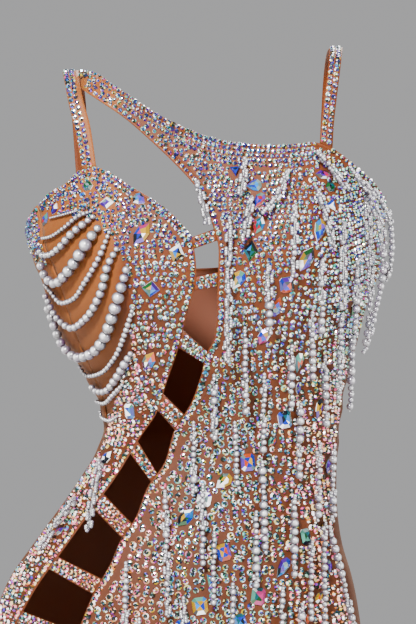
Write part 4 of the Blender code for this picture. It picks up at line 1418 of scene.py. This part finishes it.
ROSY_GLINT: Pool = (
    ((0.55, 0.04, 0.14), 0.34), ((0.5, 0.14, 0.02), 0.22), ((0.2, 0.02, 0.34), 0.16),
    ((0.45, 0.3, 0.01), 0.16), ((0.005, 0.16, 0.26), 0.12),
)


# Rows of crystals along the edges: the edge, how far inside it, and the pitch
FRONT_ROWS = (
    (NECKLINE, 1.2, 4.9), (NECKLINE, 5.9, 4.9), (NECKLINE[4:], 10.6, 4.9), (NECKLINE[6:], 15.3, 5.0),
    (NECKLINE[7:], 20.1, 5.1), (ARMHOLE, 1.6, 5.2), (CUTOUT_FRONT[:-2], -3.0, 5.9),
)
CUP_ROWS = ((CUP_TOP, 1.3, 4.9), (CUP_TOP[2:], 6.1, 4.9), (CUTOUT_CUP, 2.8, 5.7))
# How far apart the crystals stand by drop, on the front and on the cup, and the line between the two
FRONT_GAPS = ([0, 60, 150, 230, 300, 380, 500, 782], [4.95, 5.0, 5.4, 6.3, 7.3, 7.8, 8.0, 9.4])
CUP_GAPS = ([110, 150, 200, 300, 400, 620], [4.8, 5.1, 6.5, 6.6, 6.3, 6.8])
CUP_SIDE = ([100, 180, 290, 380, 500, 620], [-60, 0, -8, -45, -115, -190])
CRYSTAL_SIZES = ([0, 100, 200, 300, 450, 782], [4.6, 4.6, 5.0, 5.8, 6.3, 6.5])
# Pieces by height: name, top and low drops
BANDS = (("bust", -50, 215), ("waist", 215, 450), ("skirt", 450, 900))
ALL_HEIGHTS = (-math.inf, math.inf)
# A close patch under the wearer's right arm: turns and levels
PATCH = (np.radians([270, 294, 293, 284, 274]), np.array([158, 134, 200, 198, 180]))


@dataclass
class RoundCrystals:
    """Thousands of small round cut crystals: tidy rows along the edges and a close scatter between."""

    form: WornForm
    wardrobe: Wardrobe
    panels: ClothPanels
    sides: int = 8
    heart: float = 0.33
    heart_glints: float = 0.12
    rim_glints: float = 0.17
    jitter: float = 0.1
    row_jitter: float = 0.35
    waves: tuple[tuple[float, float, float], ...] = ((5.0, 47, 0.0), (3.0, 19, 1.3))
    on_binding: float = 0.00028
    on_strap: float = 0.0009
    sunk: float = 0.00015
    scatter_edge: float = 2.6
    scatter_gap: float = 0.8
    missing: float = 0.02
    tries: int = 30000
    tries_edge: float = 2.4
    stone_gap: float = 1.9
    three_rows: float = 13.5
    rng: np.random.Generator = field(default_factory=lambda: np.random.default_rng(SEED))
    pattern: Pattern = field(init=False)

    def __post_init__(self) -> None:
        """Model the one crystal that is copied."""
        deselect()
        bpy.ops.mesh.primitive_cone_add(
            vertices=self.sides, radius1=0.5, radius2=self.heart, depth=0.34, location=(0, 0, 0.17)
        )
        piece = bpy.context.object
        bpy.ops.object.transform_apply(location=True, rotation=True, scale=True)
        with editing(piece) as shape:
            pick(piece, shape, lambda normal: normal.z > 0.9)
            bpy.ops.mesh.poke(offset=0.06)
        self.pattern = Pattern.read(piece)

    def spacing(self, across: Array, down: Array) -> Array:
        """How far apart the crystals stand in the front view's places."""
        on_cup = (across < np.interp(down, *CUP_SIDE)) & (down > 105)
        base = np.where(on_cup, np.interp(down, *CUP_GAPS), np.interp(down, *FRONT_GAPS))
        return base - ramp(across, 100, 150) * ramp(down, 90, 170) * 0.9

    def size(self, across: Array, down: Array) -> Array:
        """Crystal sizes in the front view's places."""
        base = np.interp(down, *CRYSTAL_SIZES)
        return base * self.rng.choice([0.8, 0.94, 1.0, 1.0, 1.06, 1.2], size=len(base))

    @staticmethod
    def draw(rng: np.random.Generator, pool: Pool, shape: tuple[int, ...]) -> Array:
        """Colours drawn from a pool of tones with their shares."""
        tones = np.array([tone for tone, _ in pool])
        shares = np.array([share for _, share in pool])
        return tones[rng.choice(len(tones), size=shape, p=shares / shares.sum())]

    def tints(self, down: Array, across: Array, spins: Array) -> Array:
        """Colours by crystal and facet: broken pale rings of painted highlights round dark hearts of painted
        reflections, with painted glints; the upper crystals are paler towards their upper left, as painted
        light from there.
        """
        count, faces = len(down), len(self.pattern.sizes)
        middles = self.pattern.middles
        heart = np.hypot(middles[:, 0], middles[:, 1]) < self.heart
        under = middles[:, 2] < 0.01
        rng = self.rng
        angles = np.arctan2(middles[:, 1], middles[:, 0])[None] + spins[:, None]
        # Painted light: facets towards the upper left are paler, as though lit from there.
        lit = 0.5 + 0.5 * np.cos(angles - 2.3)
        upper = ramp(down, 330, 180)[:, None]
        right = ramp(across, 40, 110) * ramp(down, 270, 350)
        left = ramp(across, -10, -60) * ramp(down, 250, 310)
        warm = np.maximum(right, left * 0.8)
        rosy = (rng.random(count) < warm)[:, None, None]
        cool = rng.random(count)[:, None, None] < upper[..., None] * 0.75
        shape = (count, faces)
        pale = np.where(rosy, self.draw(rng, ROSY_PALE, shape), self.draw(rng, MINT_PALE, shape))
        dark = np.where(cool, self.draw(rng, NAVY_DARK, shape), self.draw(rng, GREEN_DARK, shape))
        glint = np.where(rosy, self.draw(rng, ROSY_GLINT, shape), self.draw(rng, COOL_GLINT, shape))
        likely = np.where(heart, 0.04 + 0.27 * lit * upper, 0.7 - upper * (0.24 - (lit - 0.5) * 0.95))
        roll = rng.random(shape)
        colours = np.where((roll < likely)[..., None], pale, dark)
        glints = (rng.random(shape) < np.where(heart, self.heart_glints, self.rim_glints))[..., None]
        colours = np.where(glints, glint, colours) * rng.uniform(0.8, 1.15, (count, faces, 1))
        colours[:, under] = 0.03
        return np.clip(colours, 0, 1)

    def view(self, flat: Array, side: Side = Side.FRONT) -> tuple[Array, Array]:
        """Where flat places are in the front view, as across and down."""
        points = Cloth(self.form, side).base(flat) / GRADE
        return points[:, 0], -points[:, 2]

    def batch(self, cloth: Cloth, flat: Array, lifted: Array | float = 0.0) -> Batch:
        """Crystals at flat places of a panel, lifted by a number of metres where they sit on a binding."""
        across, down = self.view(flat, cloth.side)
        spins = self.rng.uniform(0, math.tau / self.sides, len(flat))
        size = self.size(across, down) * GRADE
        places = cloth.point(flat, SHELL / 2 - self.sunk + lifted)
        sizes = np.stack([size, size, size], axis=1)
        return self.pattern.copies(places, cloth.frames(flat, spins), sizes, self.tints(down, across, spins))

    def lattice(self, outline: Array, side: Side) -> Array:
        """Flat places in close wavy rows over an outline, as far apart as the crystals there."""
        low, high = outline.min(axis=0), outline.max(axis=0)
        xs = np.linspace(low[0], high[0], 500)
        wave = sum(height * np.sin(xs / length + start) for height, length, start in self.waves)
        rows = []
        arc = low[1] - 6
        while arc < high[1] + 6:
            ys = np.clip(arc + wave, low[1], high[1])
            across, down = self.view(np.stack([xs, ys], axis=1), side)
            gaps = self.spacing(across, down)
            points = Cloth(self.form, side).point(np.stack([xs, ys], axis=1)) / GRADE
            steps = np.linalg.norm(np.diff(points, axis=0), axis=1) * 2 / (gaps[1:] + gaps[:-1])
            run = np.concatenate([[0], np.cumsum(steps)])
            at = np.arange(self.rng.uniform(0, 1), run[-1], 1.0)
            at = at + self.rng.normal(0, self.jitter, len(at))
            x = np.interp(at, run, xs)
            aside = self.rng.normal(0, self.jitter, len(x)) * np.interp(x, xs, gaps)
            y = arc + np.interp(x, xs, wave) + aside
            rows.append(np.stack([x, y], axis=1))
            arc += float(gaps.mean()) * ROW_SHARE
        return np.concatenate(rows)

    def scatter(self, outline: Array, rows: Array, keep: Keep, side: Side) -> Array:
        """Flat places inside an outline, clear of the places already taken.

        Args:
            outline: The panel's flat outline.
            rows: Flat places that are already taken, which come first in the result.
            keep: Which places in the front view may hold a crystal.
            side: Which half of the form the panel lies on.

        Returns:
            The flat places.
        """
        spots = self.lattice(outline, side)
        spots = spots[inside(spots, outline)]
        spots = spots[distance(spots, outline) > self.scatter_edge]
        spots = spots[keep(*self.view(spots, side)) & (self.rng.random(len(spots)) > self.missing)]
        gaps = self.spacing(*self.view(spots, side)) * self.scatter_gap
        cloth = Cloth(self.form, side)
        points, taken = cloth.point(spots) / GRADE, cloth.point(rows) / GRADE
        free = np.array([np.linalg.norm(taken - point, axis=1).min() for point in points]) > gaps
        return self.filled(np.concatenate([rows, spots[free]]), outline, keep, side)

    def filled(self, spots: Array, outline: Array, keep: Keep, side: Side) -> Array:
        """The places with more put into the holes between them, as close as the crystals stand there."""
        low, high = outline.min(axis=0), outline.max(axis=0)
        tries = self.rng.uniform(low, high, (self.tries, 2))
        tries = tries[inside(tries, outline)]
        tries = tries[distance(tries, outline) > self.tries_edge]
        tries = tries[keep(*self.view(tries, side))]
        across, down = self.view(tries, side)
        gaps = self.spacing(across, down) * np.interp(down, [180, 300], [0.83, 0.95])
        cloth = Cloth(self.form, side)
        points, taken = cloth.point(tries) / GRADE, cloth.point(spots) / GRADE
        tree = KDTree(len(taken))
        for number, point in enumerate(taken):
            tree.insert(point, number)
        tree.balance()
        free = np.array([tree.find(point)[2] for point in points]) > gaps
        chosen: list[int] = []
        for number in np.flatnonzero(free):
            if not chosen or np.linalg.norm(points[chosen] - points[number], axis=1).min() > gaps[number]:
                chosen.append(int(number))
        return np.concatenate([spots, tries[chosen]])

    def edge_row(self, edge: Sequence[Place], inset: float, pitch: float) -> Array:
        """Flat places of a row inside an edge of the front view."""
        line = even(edge, 1.0)
        way = unit(np.gradient(line, axis=0))
        aside = np.stack([-way[:, 1], way[:, 0]], axis=1)
        line = line + aside * inset
        run = runs(line)
        at = np.arange(pitch / 2, run[-1], pitch)
        at = at + self.rng.uniform(-self.row_jitter, self.row_jitter, len(at))
        return self.form.front_flat(along(line, run, at))

    def clear_of(self, stones: Sequence[tuple]) -> Keep:
        """A test that a place in the front view is off the large stones."""
        rings = []
        for cut, across, down, length, width, turn, _ in stones:
            c, s = math.cos(math.radians(turn)), math.sin(math.radians(turn))
            ring = np.array(CUTS[cut]) * [length / 2, width / 2 * (-1 if cut == "triangle" else 1)]
            rings.append(ring @ np.array([[c, s], [-s, c]]) + [across, down])

        def test(across: Array, down: Array) -> Array:
            """Whether each place is clear."""
            places = np.stack([across, down], axis=1)
            free = np.ones(len(places), bool)
            for ring in rings:
                free &= ~inside(places, ring) & (distance(places, ring) > self.stone_gap)
            return free

        return test

    def panel(self, outline: Array, rows: Array, keep: Keep, side: Side, bands: Sequence[tuple]) -> None:
        """The crystals of one panel.

        Args:
            outline: The panel's flat outline.
            rows: Flat places of the rows that sit on its bindings.
            keep: Which places in the front view may hold a crystal.
            side: Which half of the form the panel lies on.
            bands: The pieces that they make, each as name, top and low drops.
        """
        rows = rows[keep(*self.view(rows, side))]
        flat = self.scatter(outline, rows, keep, side)
        lifted = np.where(np.arange(len(flat)) < len(rows), self.on_binding, 0.0)
        down = self.view(flat, side)[1]
        for name, top, low in bands:
            mine = (down >= top) & (down < low)
            batch = self.batch(Cloth(self.form, side), flat[mine], lifted[mine])
            make_piece(f"crystals_{name}", [batch], self.wardrobe.crystal)

    def front(self) -> None:
        """The main front's crystals, in three pieces by height."""
        rows = np.concatenate([self.edge_row(*row) for row in FRONT_ROWS])
        clear = self.clear_of(FRONT_STONES)
        self.panel(self.panels.outlines["front_cloth"], rows, clear, Side.FRONT, BANDS)

    def cup(self) -> None:
        """The cup's crystals, which stop at the plain cloth behind the swags."""
        rows = np.concatenate([self.edge_row(*row) for row in CUP_ROWS])
        plain = np.array(PLAIN_SIDE, float)
        clear = self.clear_of(CUP_STONES)

        def keep(across: Array, down: Array) -> Array:
            """Whether each place is clear and not behind the swags."""
            return clear(across, down) & ~inside(np.stack([across, down], axis=1), plain)

        self.panel(self.panels.outlines["cup_cloth"], rows, keep, Side.FRONT, [("cup", *ALL_HEIGHTS)])

    def back(self) -> None:
        """One row of crystals along the back's top edge, and a close patch under the right arm."""
        start, end = self.form.back_ends()
        turn = np.linspace(start + 0.03, end - 0.03, 118)
        rows = self.form.flat(turn, self.form.back_top(turn) + 3.4, Side.BACK)
        patch = self.form.flat(*PATCH, Side.BACK)
        bands = [("back_edge", *ALL_HEIGHTS)]
        self.panel(patch, rows, lambda across, down: np.ones(len(across), bool), Side.BACK, bands)

    def strap(self, name: str, ribbon: Ribbon, asides: Sequence[float], size: float, pitch: float) -> None:
        """Rows of crystals along a strap."""
        shares, sides = [], []
        for number, aside in enumerate(asides):
            count = max(2, int(ribbon.length() / (pitch * GRADE)))
            share = (np.arange(count) + (0.5 if number % 2 else 0.9)) / (count + 0.4)
            shares.append(share[share < 1])
            sides.append(np.full(len(shares[-1]), aside))
        share, aside = np.concatenate(shares), np.concatenate(sides)
        out = Straps.outward(ribbon.at(share, aside))
        axes = ribbon.frames(share, aside, out)
        places = ribbon.at(share, aside) + axes[:, 2] * self.on_strap
        spins = self.rng.uniform(0, math.tau / self.sides, len(share))
        sizes = np.full((len(share), 3), size * GRADE) * self.rng.uniform(0.94, 1.06, (len(share), 1))
        tints = self.tints(-places[:, 2] / GRADE, places[:, 0] / GRADE, spins)
        batch = self.pattern.copies(places, axes, sizes, tints)
        make_piece(f"crystals_{name}", [batch], self.wardrobe.crystal)

    def build(self, straps: Straps) -> None:
        """Set every crystal."""
        self.front()
        self.cup()
        self.back()
        for name, ribbon in straps.ribbons.items():
            if name == "shoulder_strap_left":
                self.strap(name, ribbon, (0.2, 0.56), 5.5, 6.0)
            elif name == "shoulder_strap_right":
                self.strap(name, ribbon, (0.26, 0.72), 5.3, 5.9)
            else:
                wide = ribbon.width() / GRADE > self.three_rows
                self.strap(name, ribbon, (0.2, 0.5, 0.8) if wide else (0.27, 0.73), 5.2, 5.8)


class StrandStyle(Enum):
    """How a hanging strand is strung."""

    ROPE = "small pearls twisted into a rope"
    ROPE_ABOVE = "a rope above, single pearls below"
    GRADUATED = "small pearls with runs of large ones"


# Rows of strands: the way each hangs in the front view
FRINGE = {
    "neckline": (
        ((40, 100), (35, 138)), ((82, 112), (70, 140), (57, 155)), ((109, 93), (125, 112), (139, 131)),
    ),
    "armhole": (
        ((141, 108), (165, 138), (172, 160), (172, 280)), ((149, 117), (178, 148), (183, 162), (182, 221)),
        ((160, 133), (163, 190), (163, 293)),
    ),
    "bust": (
        ((24, 158), (22, 301)), ((46, 138), (38, 182)), ((88, 148), (87, 217)),
        ((110, 131), (120, 160), (126, 188)), ((136, 163), (136, 250)),
    ),
    "underbust": (((62, 204), (63, 273)), ((115, 198), (114, 278)), ((152, 196), (148, 275))),
    "ribs": (((39, 265), (40, 351)), ((105, 250), (106, 320)), ((135, 252), (132, 340))),
    "waist": (((85, 283), (85, 348)), ((118, 294), (120, 366)), ((146, 275), (144, 351))),
    "waist_low": (((9, 312), (9, 379)), ((58, 311), (57, 393)), ((94, 341), (93, 414))),
    "high_hip": (
        ((-11, 359), (-11, 430)), ((29, 359), (32, 428)), ((56, 398), (59, 488)), ((113, 381), (112, 458)),
        ((127, 386), (127, 460)),
    ),
    "hip": (
        ((-39, 427), (-36, 549)), ((-2, 420), (-2, 500)), ((50, 447), (50, 521)), ((88, 432), (88, 513)),
        ((118, 460), (118, 563)), ((122, 464), (130, 490), (142, 540), (148, 566)),
    ),
    "low_hip": (((-77, 497), (-78, 580)), ((9, 467), (8, 539)), ((105, 478), (104, 556))),
    "thigh": (
        ((-64, 551), (-64, 632)), ((-21, 530), (-21, 606)), ((27, 517), (27, 591)), ((76, 522), (76, 597)),
        ((95, 538), (95, 611)),
    ),
    "upper_skirt": (
        ((-115, 600), (-115, 675)), ((-45, 640), (-45, 712)), ((10, 625), (10, 700)), ((60, 640), (60, 715)),
        ((120, 610), (121, 690)),
    ),
    "lower_skirt": (
        ((-165, 660), (-166, 735)), ((-90, 685), (-90, 760)), ((-15, 690), (-15, 765)),
        ((35, 735), (35, 772)), ((90, 690), (90, 764)), ((140, 680), (141, 755)),
    ),
    "side_strip": (((-103, 399), (-110, 430), (-115, 468)), ((-128, 437), (-148, 462), (-164, 488))),
    "cutout": (((-9, 121), (-2, 145), (2, 166)),),
}
ROPES = {
    "neckline": StrandStyle.ROPE,
    "bust": StrandStyle.ROPE,
    "cutout": StrandStyle.ROPE,
    "side_strip": StrandStyle.ROPE,
    "armhole": StrandStyle.ROPE_ABOVE,
    "underbust": StrandStyle.ROPE_ABOVE,
}
# Pearl swags: pearl size and the way each hangs
SWAGS = (
    (3, ((-125, 152), (-140, 156), (-153, 159))),
    (5, ((-111, 153), (-123, 157), (-140, 170), (-154, 178), (-161, 179))),
    (8.4, ((-108, 157), (-117, 164), (-132, 176), (-144, 189), (-156, 196), (-163, 195), (-164, 188))),
    (12, ((-103, 167), (-115, 183), (-128, 203), (-140, 218), (-148, 224), (-157, 219), (-163, 206))),
    (6.4, ((-93, 172), (-103, 197), (-118, 223), (-131, 240), (-143, 243), (-153, 232), (-160, 224))),
    (9, ((-85, 188), (-94, 204), (-103, 235), (-118, 259), (-132, 268), (-145, 260), (-159, 236))),
    (12, (
        (-76, 207), (-80, 221), (-86, 241), (-93, 262), (-101, 281), (-114, 294), (-128, 297), (-140, 288),
        (-149, 269), (-156, 249),
    )),
    (6, ((-70, 246), (-79, 274), (-89, 297), (-104, 313), (-118, 315), (-126, 305))),
    (8.6, ((-72, 291), (-80, 304), (-89, 319), (-100, 331), (-110, 330), (-116, 322))),
    (5.5, ((-81, 323), (-91, 334), (-101, 343), (-109, 341))),
    (4.1, ((-86, 355), (-96, 360), (-104, 356), (-105, 350))),
)


@dataclass
class Thread:
    """A thread as pearls go on it: how far down each is, its size, and how far aside and out it sits."""

    at: float = 0.8
    spots: list[tuple[float, float, float, float]] = field(default_factory=list)

    def add(
        self, size: float, aside: float = 0.0, out: float = 0.0, step: float = 0.0, lag: float = 0.0
    ) -> None:
        """String one pearl and move on by a share of its size."""
        self.spots.append((self.at + size / 2 + lag, size, aside, out))
        self.at += size * step


@dataclass(frozen=True)
class Twist:
    """How small pearls are twisted: how far out they reach, the length of a turn and of a stretch."""

    reach: float
    pitch: float
    stretch: Place


@dataclass
class Pearls:
    """Strung pearls: the swags on the cup and the rows of hanging strands."""

    form: WornForm
    wardrobe: Wardrobe
    hang_gap: float = 0.0018
    strand_off: float = 0.0084
    root_drop: float = 7.0
    small: float = 4.3
    medium: Place = (5.4, 7.0)
    large: Place = (7.8, 9.6)
    strings: int = 3
    rope: Twist = Twist(2.9, 13, (5, 11))
    loose: Twist = Twist(2.4, 11, (4, 10))
    rope_share: float = 0.45
    single_chance: float = 0.16
    large_chance: float = 0.34
    medium_chance: float = 0.72
    # Painted light and shade of each pearl: pale on its outer side, deep as painted shade towards the cloth,
    # shine as a painted highlight
    pale: Colour = (0.155, 0.145, 0.172)
    deep: Colour = (0.04, 0.032, 0.048)
    shine: Colour = (1.0, 1.0, 1.0)
    shine_from: float = 0.86
    shine_full: float = 0.98
    thread: float = 0.00028
    swag_shares: tuple[float, ...] = (0, 0.06, 0.14, 0.42, 0.65, 1)
    swag_sizes: tuple[float, ...] = (0.62, 0.8, 1.0, 0.94, 0.8, 0.66)
    swag_growth: float = 1.08
    fine_from: float = 8.0
    fine: Pattern = field(init=False)
    coarse: Pattern = field(init=False)
    rng: np.random.Generator = field(default_factory=lambda: np.random.default_rng(SEED + 7))

    def __post_init__(self) -> None:
        """Model a small and a large pearl."""
        self.coarse = self.model(2)
        self.fine = self.model(3)

    @staticmethod
    def model(steps: int) -> Pattern:
        """A pearl of size 1 that is a little flat at the drilled ends."""
        deselect()
        bpy.ops.mesh.primitive_ico_sphere_add(subdivisions=steps, radius=0.5)
        piece = bpy.context.object
        with editing(piece):
            bpy.ops.mesh.select_all(action="SELECT")
            bpy.ops.transform.resize(value=(1.0, 1.0, 0.96), center_override=(0, 0, 0))
        return Pattern.read(piece)

    def tints(self, pattern: Pattern, places: Array) -> Array:
        """A slightly different white for each pearl, with painted light paler outwards, painted shade
        lilac-grey towards the cloth and a painted highlight at the middle of its outer side.

        Args:
            pattern: The pearl.
            places: Where the pearls are.

        Returns:
            Colours by pearl and corner.
        """
        shift = self.rng.normal(0, 0.03, (len(places), 1)) + self.rng.normal(0, 0.012, (len(places), 3))
        out = unit(places * [1.0, 1.6, 0.0] + [0.0, -0.06, 0.03])
        ways = unit(pattern.points)[pattern.corners]
        facing = np.einsum("nd,cd->nc", out, ways)
        # Painted shade towards the cloth and a painted highlight on the outer side.
        share = ramp(facing, -0.1, 0.9)[..., None] ** 1.4
        spot = ramp(facing, self.shine_from, self.shine_full)[..., None]
        pale, deep, shine = np.array(self.pale), np.array(self.deep), np.array(self.shine)
        body = deep + (pale - deep) * share + shift[:, None] * 0.5
        return np.clip(body + (shine - body) * spot, 0, 1).reshape(-1, 3)

    def beads(self, pattern: Pattern, places: Array, sizes: Array) -> Batch:
        """Pearls at places, each of a size in metres."""
        axes = np.broadcast_to(np.eye(3), (len(places), 3, 3))
        return pattern.copies(places, axes, np.repeat(sizes[:, None], 3, axis=1), self.tints(pattern, places))

    def thread_on(self, path: Array) -> Batch:
        """The thread that the pearls are strung on."""
        way = unit(np.gradient(path, axis=0))
        aside = unit(np.cross(way, np.array([0.0, -1.0, 0.02])))
        radius = np.full(len(path), self.thread)
        return tube(path, aside, np.cross(aside, way), radius, radius, 4)

    def swag(self, pearl: float, way: Sequence[Place]) -> list[Batch]:
        """One swag, its pearls small at the ends and large in the middle."""
        line = even(way, 0.5)
        middle = WALL / 2 + self.hang_gap + pearl / 2 * GRADE
        points = self.form.seen_front(line[:, 0], line[:, 1], np.full(len(line), middle)) / GRADE
        run = runs(points)
        places, sizes = [], []
        at = 0.0
        while at < run[-1]:
            share = at / run[-1]
            grown = np.interp(share, self.swag_shares, self.swag_sizes) * self.rng.uniform(0.97, 1.03)
            size = pearl * self.swag_growth * grown
            at += size / 2
            if at > run[-1]:
                break
            places.append(along(line, run, at))
            sizes.append(size)
            at += size / 2 * 0.97
        flat, size = np.array(places), np.array(sizes) * GRADE
        out = WALL / 2 + self.hang_gap * 0.6 + size / 2
        points = self.form.seen_front(flat[:, 0], flat[:, 1], out)
        pattern = self.fine if pearl >= self.fine_from else self.coarse
        return [self.beads(pattern, points, size), self.thread_on(points)]

    def swags(self) -> None:
        """All the swags, in place of their solid."""
        batches = [batch for pearl, way in SWAGS for batch in self.swag(pearl, way)]
        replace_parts(make_piece("swag_pearls", batches, self.wardrobe.pearl), "pearl_swags")

    def path(self, way: Sequence[Place]) -> Array:
        """The line that a strand hangs along, from its root on the cloth, clear of the cloth below."""
        form = self.form
        first, second = np.array(way[0], float), np.array(way[1], float)
        long = float(np.linalg.norm(second - first))
        places = even(way, max(4.0, math.dist(way[0], way[-1]) / 5))
        below = first + (second - first) * self.root_drop / long
        away = np.linalg.norm(places[1:] - first, axis=1) >= self.root_drop * 1.5
        hung = np.concatenate([[below], places[1:][away]])
        points = form.seen_front(hung[:, 0], hung[:, 1], np.full(len(hung), self.strand_off))
        points[:, 1] = np.minimum.accumulate(points[:, 1])
        root = form.off_front(first[:1], first[1:], np.array([WALL / 2 + 0.0010]))
        return np.concatenate([root, points])

    def strung(self, length: float, style: StrandStyle) -> list[tuple[float, float, float, float]]:
        """The pearls of one strand of a length and style, as Thread holds them."""
        rng = self.rng
        thread = Thread()
        phase = rng.uniform(0, math.tau)
        while thread.at < length - 1:
            share = thread.at / length
            rope = style is StrandStyle.ROPE or (style is StrandStyle.ROPE_ABOVE and share < self.rope_share)
            full = float(np.interp(share, [0, 0.12, 0.8, 0.93, 1], [0.3, 1, 1, 0.75, 0.3]))
            roll = rng.random() if 0.08 < share < 0.94 else 1.0
            if rope and roll < self.single_chance:
                thread.add(rng.uniform(*self.medium), rng.uniform(-1, 1), 1.4, 0.95)
            elif not rope and roll < self.large_chance:
                for _ in range(rng.integers(1, 4)):
                    thread.add(rng.uniform(*self.large) * (0.75 + 0.25 * full), step=0.95)
            elif not rope and roll < self.medium_chance:
                for _ in range(rng.integers(2, 5)):
                    thread.add(rng.uniform(*self.medium), rng.uniform(-0.8, 0.8), step=0.93)
            else:
                self.twisted(thread, self.rope if rope else self.loose, full, phase, length - 1)
        return thread.spots

    def twisted(self, thread: Thread, twist: Twist, full: float, phase: float, last: float) -> None:
        """A stretch of small pearls.

        Args:
            thread: The thread that they go on.
            twist: How they are twisted.
            full: How full the strand is there, from 0 to 1.
            phase: The angle that its twist starts at.
            last: How far down the strand ends.
        """
        end = min(thread.at + self.rng.uniform(*twist.stretch), last)
        reach = twist.reach * full
        strings = self.strings
        if reach < 1.0:
            strings, reach = 1, 0.0
        while thread.at < end:
            size = self.small * self.rng.uniform(0.92, 1.08)
            for string in range(strings):
                angle = phase + thread.at / twist.pitch * math.tau + math.tau * string / self.strings
                thread.add(size, reach * math.cos(angle), reach * math.sin(angle), lag=size * 0.4 * string)
            thread.at += size * 0.97

    def strand(self, way: Sequence[Place], style: StrandStyle) -> list[Batch]:
        """One hanging strand.

        Args:
            way: The way it hangs in the front view.
            style: How it is strung.

        Returns:
            Its pearls and threads.
        """
        path = self.path(way)
        run = runs(path) / GRADE
        side, out = np.array([1.0, 0.0, 0.0]), np.array([0.0, -1.0, 0.0])
        spread = np.array([spot for spot in self.strung(run[-1], style) if spot[0] < run[-1]])
        places = along(path, run, spread[:, 0]) + (spread[:, 2:3] * side + spread[:, 3:4] * out) * GRADE
        sizes = spread[:, 1] * GRADE
        big = spread[:, 1] > 5.5
        batches = [self.beads(self.coarse, places[~big], sizes[~big]), self.thread_on(path)]
        if big.any():
            batches.append(self.beads(self.coarse, places[big], sizes[big]))
        return batches

    def row(self, name: str, strands: Sequence[Sequence[Place]]) -> None:
        """A row of strands, in place of its solid."""
        style = ROPES.get(name, StrandStyle.GRADUATED)
        batches = [batch for way in strands for batch in self.strand(way, style)]
        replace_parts(make_piece(f"strands_{name}", batches, self.wardrobe.pearl), f"fringe_{name}")

    def build(self) -> None:
        """Build the swags and every row."""
        self.swags()
        for name, strands in FRINGE.items():
            self.row(name, strands)


@dataclass
class Studio:
    """The pale floor, the soft lights and the camera of the photograph."""

    distance: float = 5.0
    frame_height: float = 0.574
    aim: tuple[float, float, float] = (0.00276, 0.0, -0.2318)
    floor_level: float = -0.80
    floor_radius: float = 2.4

    def floor(self) -> None:
        """A pale round floor below the hem."""
        deselect()
        bpy.ops.mesh.primitive_circle_add(
            vertices=96, radius=self.floor_radius, fill_type="NGON", location=(0, 0, self.floor_level)
        )
        floor = bpy.context.object
        bpy.ops.object.transform_apply(location=True, rotation=True, scale=True)
        floor.name = "studio_floor"
        with editing(floor) as shape:
            pick(floor, shape, lambda normal: True)
            bpy.ops.mesh.inset(thickness=0.1, depth=0)
        floor.data.materials.append(PlainMatt("floor", (0.82, 0.81, 0.8)).make())

    def light(self, name: str, place: Spot, size: float, power: float, tone: Colour) -> None:
        """A soft square light that faces the dress.

        Args:
            name: Its name.
            place: Where it stands.
            size: The length of its side.
            power: Its power in watts.
            tone: Its colour.
        """
        lamp = bpy.data.lights.new(name, "AREA")
        lamp.size = size
        lamp.energy = power
        lamp.color = tone
        holder = bpy.data.objects.new(name, lamp)
        holder.location = place
        holder.rotation_euler = (Vector(self.aim) - Vector(place)).to_track_quat("-Z", "Y").to_euler()
        bpy.context.scene.collection.objects.link(holder)

    def build(self) -> None:
        """Set up the studio."""
        self.floor()
        self.light("key", (-0.5, -2.1, 1.2), 0.35, 200.0, (1.0, 0.985, 0.96))
        self.light("fill", (1.9, -1.9, 0.3), 0.7, 34.0, (0.95, 0.97, 1.0))
        self.light("back", (0.6, 2.2, 1.4), 1.0, 70.0, (1.0, 1.0, 1.0))
        world = bpy.context.scene.world or bpy.data.worlds.new("studio")
        bpy.context.scene.world = world
        world.use_nodes = True
        backdrop = world.node_tree.nodes["Background"]
        backdrop.inputs["Color"].default_value = (0.82, 0.82, 0.83, 1.0)
        backdrop.inputs["Strength"].default_value = 0.5
        camera = bpy.data.cameras.new("camera")
        camera.lens = camera.sensor_width * self.distance / self.frame_height
        holder = bpy.data.objects.new("camera", camera)
        holder.location = (self.aim[0], self.aim[1] - self.distance, self.aim[2])
        holder.rotation_euler = (math.pi / 2, 0.0, 0.0)
        bpy.context.scene.collection.objects.link(holder)
        bpy.context.scene.camera = holder


def corners(box: Sequence) -> list[list[float]]:
    """A box's two corners as plain numbers."""
    return [[float(value) for value in corner] for corner in box]


def main() -> None:
    """Build the dress in order and report each piece."""
    logging.basicConfig(level=logging.INFO, format="%(message)s")
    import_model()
    Studio().build()
    form, wardrobe = WornForm(), Wardrobe()
    panels = ClothPanels(form, wardrobe)
    panels.build()
    straps = Straps(form, wardrobe)
    straps.build()
    Bindings(form, wardrobe, panels).build()
    stones = LargeStones(form, wardrobe)
    stones.build("stones_front", FRONT_STONES)
    stones.build("stones_cup", CUP_STONES)
    RoundCrystals(form, wardrobe, panels).build(straps)
    Pearls(form, wardrobe).build()


if __name__ == "__main__":
    main()
